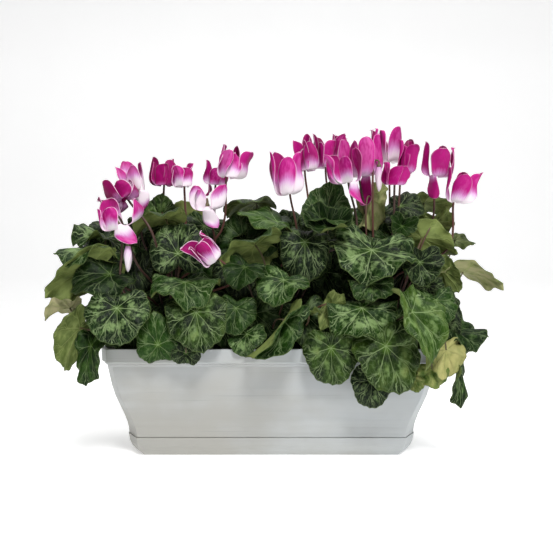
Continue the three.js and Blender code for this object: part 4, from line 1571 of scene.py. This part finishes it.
@dataclass
class Planter:
    """The planter, its drip tray and its soil."""

    finishes: Finishes
    nodes: dict[str, bpy.types.Object]
    weld: float = 0.01 * MM
    edge: float = 1.2 * MM
    edge_angle: float = math.radians(24)
    soil_grid: tuple[int, int] = (180, 70)
    soil_inset: tuple[float, float] = (7.6 * MM, 8.9 * MM)
    soil_bevel: tuple[float, float] = (15.4 * MM, 30.4 * MM)
    soil_depth: float = 8 * MM
    soil_taper: float = 0.985
    sink: float = 1 * MM
    slope: tuple[float, float] = (20 * MM, 4 * MM)
    crumb: float = 1.92 * MM
    crumbs_a_metre: float = 90.0
    crumb_layers: tuple[tuple[float, float], ...] = ((1.0, 1.0), (2.3, 0.6), (5.1, 0.4))

    def build(self) -> None:
        """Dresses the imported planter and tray, and makes the soil's crumbly top."""
        for name in ("planter", "saucer"):
            node = self.nodes[name]
            node.data.materials.clear()
            node.data.materials.append(self.finishes.plastic)
            weld = node.modifiers.new("weld", "WELD")
            weld.merge_threshold = self.weld
            bevel = node.modifiers.new("edges", "BEVEL")
            bevel.width = self.edge
            bevel.segments = 3
            bevel.limit_method = "ANGLE"
            bevel.angle_limit = self.edge_angle
            bevel.harden_normals = True
            LOG.info("%s: dressed", name)
        self.soil()

    def soil(self) -> None:
        """Makes the soil's top with its lumps, closed below, in the place of its node."""
        piece = Piece("soil_top")
        length = PLANTER_LENGTH / 2 - self.soil_inset[0]
        depth = PLANTER_DEPTH / 2 - self.soil_inset[1]
        bevel_x, bevel_y = self.soil_bevel
        reach, drop = self.slope

        def place(x: float, t: float) -> Vector:
            """The soil's point.

            Args:
                x: From -1 to 1 along the planter.
                t: From 0 to 1 across it.

            Returns:
                The point.
            """
            y = (2 * t - 1) * depth
            cut = max(0.0, (abs(y) - (depth - bevel_y)) / bevel_y) * bevel_x
            x *= length - cut
            near_wall = min(1.0, (length - abs(x)) / reach, (depth - abs(y)) / reach)
            at = Vector((x, y, 0)) * self.crumbs_a_metre
            lumps = sum(share * noise.noise(at * finer) for finer, share in self.crumb_layers)
            return Vector((x, y, SOIL_TOP - self.sink - drop * (1 - near_wall) + self.crumb * lumps))

        faces = piece.patch(*self.soil_grid, place, {})
        piece.turn_towards(faces, Vector((0, 0, 1)))
        skirt = bmesh.ops.extrude_face_region(piece.bm, geom=faces, use_keep_orig=True)
        lower = [item for item in skirt["geom"] if isinstance(item, bmesh.types.BMVert)]
        bmesh.ops.translate(piece.bm, verts=lower, vec=(0, 0, -self.soil_depth))
        bmesh.ops.scale(piece.bm, verts=lower, vec=(self.soil_taper, self.soil_taper**2, 1))
        bmesh.ops.recalc_face_normals(piece.bm, faces=piece.bm.faces[:])
        piece.finish([self.finishes.soil], "soil", ["soil"])


# What sets the front leaves apart, by their row in LEAVES; an age below 0 is painted shade.
LOOKS: dict[int, Look] = {
    0: Look(0.7, 0.0, 0.0, 2.5),
    1: Look(0.7, 0.0, 0.0, 2.5),
    2: Look(0.3, 0.0, 0.0, 1.0),
    3: Look(0.2, -0.38, 0.0, 1.6),
    4: Look(0.7, 0.0, 0.0, 0.8, 0.8),
    5: Look(0.3, 0.5, 0.0, 2.0),
    7: Look(0.1, 0.08, -0.1, 2.5),
    11: Look(0.55, 0.0, 0.0, 1.0, 0.4),
    12: Look(0.5, 0.0, 0.0, 1.6),
    13: Look(0.5, 0.12, 0.0, 1.0, 0.8),
    14: Look(0.3, 0.0, 0.0, 0.6, 1.0),
    15: Look(0.4, 0.0, 0.0, 0.6, 1.0),
    16: Look(0.4, -0.25, 0.0, 1.4),
    18: Look(0.3, 0.0, 0.0, 1.4),
    20: Look(0.45, 0.0, -0.16, 1.0, 1.0),
    23: Look(0.3, -0.16, 0.0, 2.0),
    24: Look(0.2, -0.4, 0.0, 1.5),
    25: Look(0.5, -0.06, 0.15, 1.2, 0.3),
    29: Look(0.4, 0.16, 0.0, 1.2, 0.9),
    30: Look(0.3, 0.34, 0.0, 3.5),
    33: Look(0.2, -0.2, 0.0, 3.0),
    34: Look(0.2, -0.06, 0.0, 3.5),
    35: Look(0.2, -0.3, 0.3, 2.0),
    36: Look(0.7, 0.0, 0.12, 1.5, 0.6),
    37: Look(0.4, -0.2, 0.25, 1.5),
    39: Look(0.2, 0.42, 0.0, 2.5),
    44: Look(0.7, 0.22, 0.0, 1.6, 0.9),
    45: Look(0.8, 0.0, 0.0, 2.2, 0.6),
    47: Look(0.5, 0.18, 0.0, 1.5, 0.9),
    48: Look(0.4, -0.05, 0.0, 1.0, 1.0),
    49: Look(0.4, 0.4, 0.0, 1.5),
    50: Look(0.3, 0.4, 0.0, 1.5),
    51: Look(0.2, 0.7, 0.0, 2.5),
    52: Look(0.2, 0.0, 0.0, 3.0),
    53: Look(0.3, 0.0, 0.0, 3.0),
    54: Look(0.1, -0.3, 0.4, 1.2, 0.8),
}
# Whiteness, depth and rimming of the flowers, by their row in FLOWERS.
TINTS = (
    (0.62, 0.2, 0.6),
    (-0.05, 0.75, 0.9),
    (0.4, 0.3, 0.7),
    (-0.1, 0.62, 0.2),
    (0.3, 0.4, 0.7),
    (0.12, 0.55, 0.6),
    (0.3, 0.3, 0.8),
    (0.75, 0.3, 0.5),
    (0.4, 0.45, 1.0),
    (0.4, 0.25, 0.6),
    (0.15, 0.6, 0.5),
    (0.1, 0.6, 0.5),
    (0.1, 0.5, 0.5),
    (0.14, 0.15, 0.4),
    (0.26, 0.15, 0.3),
    (0.34, 0.35, 0.7),
    (-0.05, 0.5, 0.2),
    (-0.1, 0.45, 0.2),
    (0.12, 0.3, 0.4),
    (0.27, 0.35, 0.3),
)


@dataclass
class Garden:
    """All the plants, worked out from their rows. Its lengths are in millimetres."""

    finishes: Finishes
    inner_width: float = 84
    # The leaves behind: tiers of height, depth of the stalk end and how far the tip drops, for each plant.
    back_tiers: tuple[Triple, ...] = ((196, 100, 34), (262, 72, 24), (322, 44, 12))
    back_spacing: float = 82
    back_reach: float = 56
    back_width: float = 80
    back_lift: float = 12
    back_fan: float = 14
    back_stray: float = 26
    # The leaves that fill the shade of each plant, spread over an oval round the middle of its foliage.
    shade_count: int = 22
    shade_middle: float = 262
    shade_half: Pair = (90, 92)
    shade_depths: Pair = (-10, 56)
    shade_drop: float = 50
    shade_width: float = 72
    # The low ones behind the front rim.
    low_count: int = 7
    low_heights: Pair = (178, 214)
    low_depths: Pair = (-62, -36)
    # The first seeds of the other leaves and the buds.
    back_seed: int = 100
    inner_seed: int = 200
    shade_seed: int = 300
    fill_seed: int = 400
    bud_seed: int = 40
    bud_bearing: float = 170
    # How the other leaves fold in degrees, arch and look; inner and filling leaves get painted shade.
    fold: float = 6
    arch: float = 0.15
    back_arch: float = 0.2
    inner_look: Look = Look(0.4, -0.35)
    fill_look: Look = Look(0.4, -0.2, 0.0, 1.5, 0.6)

    def front_leaves(self) -> Iterator[Leaf]:
        """The leaves that show from the front.

        Yields:
            Each leaf.
        """
        for seed, (plant, root, tip, width, facing, fold, arch) in enumerate(LEAVES):
            usual = Look(0.25 + 0.45 * drawn(seed), 0.15 * drawn(seed + 0.6), 0.0, 1.3, drawn(seed + 0.9))
            place = (CROWNS[plant], seen_at(*root), seen_at(*tip), width * MM, facing)
            yield Leaf(seed, *place, fold, arch, LOOKS.get(seed, usual))

    def inner_leaves(self) -> Iterator[Leaf]:
        """The upright leaves in the shade between the stalks.

        Yields:
            Each leaf.
        """
        for seed, (plant, root, tip) in enumerate(INNER_LEAVES, self.inner_seed):
            place = (CROWNS[plant], seen_at(*root), seen_at(*tip), self.inner_width * MM)
            yield Leaf(seed, *place, Facing.FORWARD.value, self.fold, self.arch, self.inner_look, False)

    def back_leaves(self) -> Iterator[Leaf]:
        """The tiers of leaves behind each plant, which stray from even rows.

        Yields:
            Each leaf.
        """
        for plant, crown in enumerate(CROWNS):
            for tier, (height, depth, drop) in enumerate(self.back_tiers):
                for side in (-1, 1):
                    seed = self.back_seed + plant * 10 + tier * 2 + side
                    lift = height + self.back_lift * drawn(seed)
                    stray, near = (self.back_stray * (drawn(seed + share) - 0.5) for share in (0.2, 0.35))
                    root = Vector((side * self.back_spacing / 2 + stray, depth + near / 2, lift - near)) * MM
                    root.x += crown
                    fan = side * self.back_fan * drawn(seed + 0.5) + 1.6 * stray
                    tip = root + Vector((fan, self.back_reach - drop / 2, -drop)) * MM
                    facing = (side * 0.3 + 0.02 * stray, 0.7, 0.8)
                    look = Look(0.5 + 0.4 * drawn(seed + 0.8), 0.0, 0.0, 1.3, drawn(seed + 0.9))
                    place = (crown, root, tip, self.back_width * MM, facing)
                    yield Leaf(seed, *place, self.fold, self.back_arch, look)

    def shade_leaves(self) -> Iterator[Leaf]:
        """The leaves in the shade of each plant, which close the gaps among its stalks.

        Yields:
            Each leaf.
        """
        for plant, crown in enumerate(CROWNS):
            for k in range(self.shade_count + self.low_count):
                seed = self.shade_seed + plant * 30 + k
                first, second, third = (drawn(seed + share) for share in (0.1, 0.4, 0.8))
                if k < self.shade_count:
                    out = math.sqrt((k + 0.5) / self.shade_count)
                    x, z = (half * part for half, part in zip(self.shade_half, round_about(TURN * k, out)))
                    root = Vector((x, mix(*self.shade_depths, first), self.shade_middle + z)) * MM
                else:
                    x = mix(-1, 1, (k - self.shade_count + 0.5) / self.low_count) * self.shade_half[0]
                    root = Vector((x, mix(*self.low_depths, first), mix(*self.low_heights, second))) * MM
                root.x += crown
                tip = root + Vector((40 * (second - 0.5), -10 - 20 * third, -self.shade_drop)) * MM
                facing = (0.9 * (third - 0.5), -1, 0.3 + 0.5 * first)
                # Painted shade: these leaves are darkened, as they lie deep in the foliage.
                look = Look(0.3 + 0.3 * second, -0.45, 0.0, 1.5, third)
                place = (crown, root, tip, self.shade_width * MM, facing)
                yield Leaf(seed, *place, self.fold, self.arch, look, False)

    def filling_leaves(self) -> Iterator[Leaf]:
        """More leaves in the shade, where the front view would look through.

        Yields:
            Each leaf.
        """
        for index, (plant, root) in enumerate(SHADE_FILLS):
            root = seen_at(*root)
            tip = root + Vector((30 * (drawn(index) - 0.5), -12, -44)) * MM
            place = (CROWNS[plant], root, tip, self.shade_width * MM, (0.2, -1, 0.4))
            yield Leaf(self.fill_seed + index, *place, self.fold, self.arch, self.fill_look, False)

    def flowers(self) -> Iterator[tuple[str, Flower]]:
        """Every open flower and bud.

        Yields:
            The node's name and the flower.
        """
        for seed, (plant, foot, top, spread, lean, bearing, *fallen) in enumerate(FLOWERS):
            place = (CROWNS[plant], seen_at(*foot), seen_at(*top, foot[2] - lean), spread * MM, bearing)
            yield f"flower_{seed + 1:02d}", Flower(seed, *place, tuple(fallen), *TINTS[seed])
        for index, (plant, foot, top, length) in enumerate(BUDS):
            place = (CROWNS[plant], seen_at(*foot), seen_at(*top, foot[2]), 0.0, self.bud_bearing)
            bud = Bud(self.bud_seed + index, *place)
            bud.height = length * MM
            yield f"bud_{index + 1}", bud

    def build(self) -> None:
        """Makes every plant and flower."""
        leaves = [*self.front_leaves(), *self.inner_leaves(), *self.back_leaves()]
        leaves += [*self.shade_leaves(), *self.filling_leaves()]
        flowers = list(self.flowers())
        for number, crown in enumerate(CROWNS, 1):
            own_leaves = [leaf for leaf in leaves if leaf.crown == crown]
            own_flowers = [flower for _, flower in flowers if flower.crown == crown]
            Plant(number, own_leaves, own_flowers, self.finishes).build()
        for name, flower in flowers:
            flower.build(name, self.finishes.petal)


@dataclass
class Studio:
    """The pale sweep, the soft lights and the camera."""

    sweep: tuple[Pair, ...] = ((-4.0, 0.0), (2.2, 0.0), (2.9, 0.25), (3.3, 0.8), (3.4, 1.6), (3.4, 6.0))
    half_width: float = 6.0
    floor_sink: float = 0.2 * MM
    floor_glow: float = 0.43
    floor_shades: tuple[Colour, Colour] = ((0.9, 0.9, 0.9), (0.94, 0.94, 0.94))
    # Each light's name, place, size and power.
    lights: tuple[tuple[str, Triple, float, float], ...] = (
        ("key", (0.45, -1.9, 2.45), 0.8, 70.0),
        ("fill", (1.9, -1.9, 1.2), 2.0, 8.0),
        ("top", (0.2, 0.5, 2.6), 1.2, 30.0),
    )
    aim: Triple = (0.0, 0.0, 0.22)
    daylight: float = 0.1
    sensor: float = 36.0
    far: float = 50.0

    def build(self) -> None:
        """Makes the whole studio."""
        self.floor()
        for row in self.lights:
            self.light(*row)
        world = bpy.data.worlds.new("daylight")
        world.use_nodes = True
        background = world.node_tree.nodes["Background"]
        background.inputs["Color"].default_value = (1, 1, 1, 1)
        background.inputs["Strength"].default_value = self.daylight
        bpy.context.scene.world = world
        bpy.context.scene.view_settings.view_transform = "Standard"
        self.camera()

    def floor(self) -> None:
        """Makes the pale floor that sweeps up behind the planter."""
        bm = bmesh.new()
        verts = [bm.verts.new((-self.half_width, y, z - self.floor_sink)) for y, z in self.sweep]
        edges = [bm.edges.new(pair) for pair in zip(verts, verts[1:])]
        made = bmesh.ops.extrude_edge_only(bm, edges=edges)
        moved = [item for item in made["geom"] if isinstance(item, bmesh.types.BMVert)]
        bmesh.ops.translate(bm, verts=moved, vec=(2 * self.half_width, 0, 0))
        bmesh.ops.recalc_face_normals(bm, faces=bm.faces[:])
        smooth_faces(bm.faces)
        mesh = bpy.data.meshes.new("floor")
        bm.to_mesh(mesh)
        bm.free()
        shader = Shader("pale_floor", 0.9, Emission_Strength=self.floor_glow)
        shader.surface.inputs["Emission Color"].default_value = (1, 1, 1, 1)
        dark, light = self.floor_shades
        shader.colour(dark, (light, shader.noise(shader.place(), 3.0, 2.0)))
        mesh.materials.append(shader.material)
        floor = added("floor", mesh)

    def light(self, name: str, place: Sequence[float], size: float, power: float) -> None:
        """Adds one soft square light that looks at the plants.

        Args:
            name: Its name.
            place: Where it stands.
            size: The length of its sides.
            power: Its power in watts.
        """
        lamp = bpy.data.lights.new(name, "AREA")
        lamp.energy = power
        lamp.size = size
        made = added(name, lamp)
        made.location = place
        made.rotation_euler = (Vector(self.aim) - Vector(place)).to_track_quat("-Z", "Y").to_euler()

    def camera(self) -> None:
        """Adds the level camera of the front view."""
        lens = bpy.data.cameras.new("camera")
        lens.sensor_width = self.sensor
        lens.lens = VIEW_FOCAL / VIEW_WIDTH * self.sensor
        lens.clip_end = self.far
        made = added("camera", lens)
        made.location = VIEW_PLACE
        made.rotation_euler = (math.pi / 2, 0, 0)
        bpy.context.scene.camera = made


def main() -> None:
    """Builds the object's looks around its frame, and the studio."""
    logging.basicConfig(level=logging.INFO, format="%(message)s")
    for leftover in list(bpy.data.objects):
        bpy.data.objects.remove(leftover)
    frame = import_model()
    finishes = Finishes.made()
    Planter(finishes, frame["nodes"]).build()
    Garden(finishes).build()
    Studio().build()


if __name__ == "__main__":
    main()
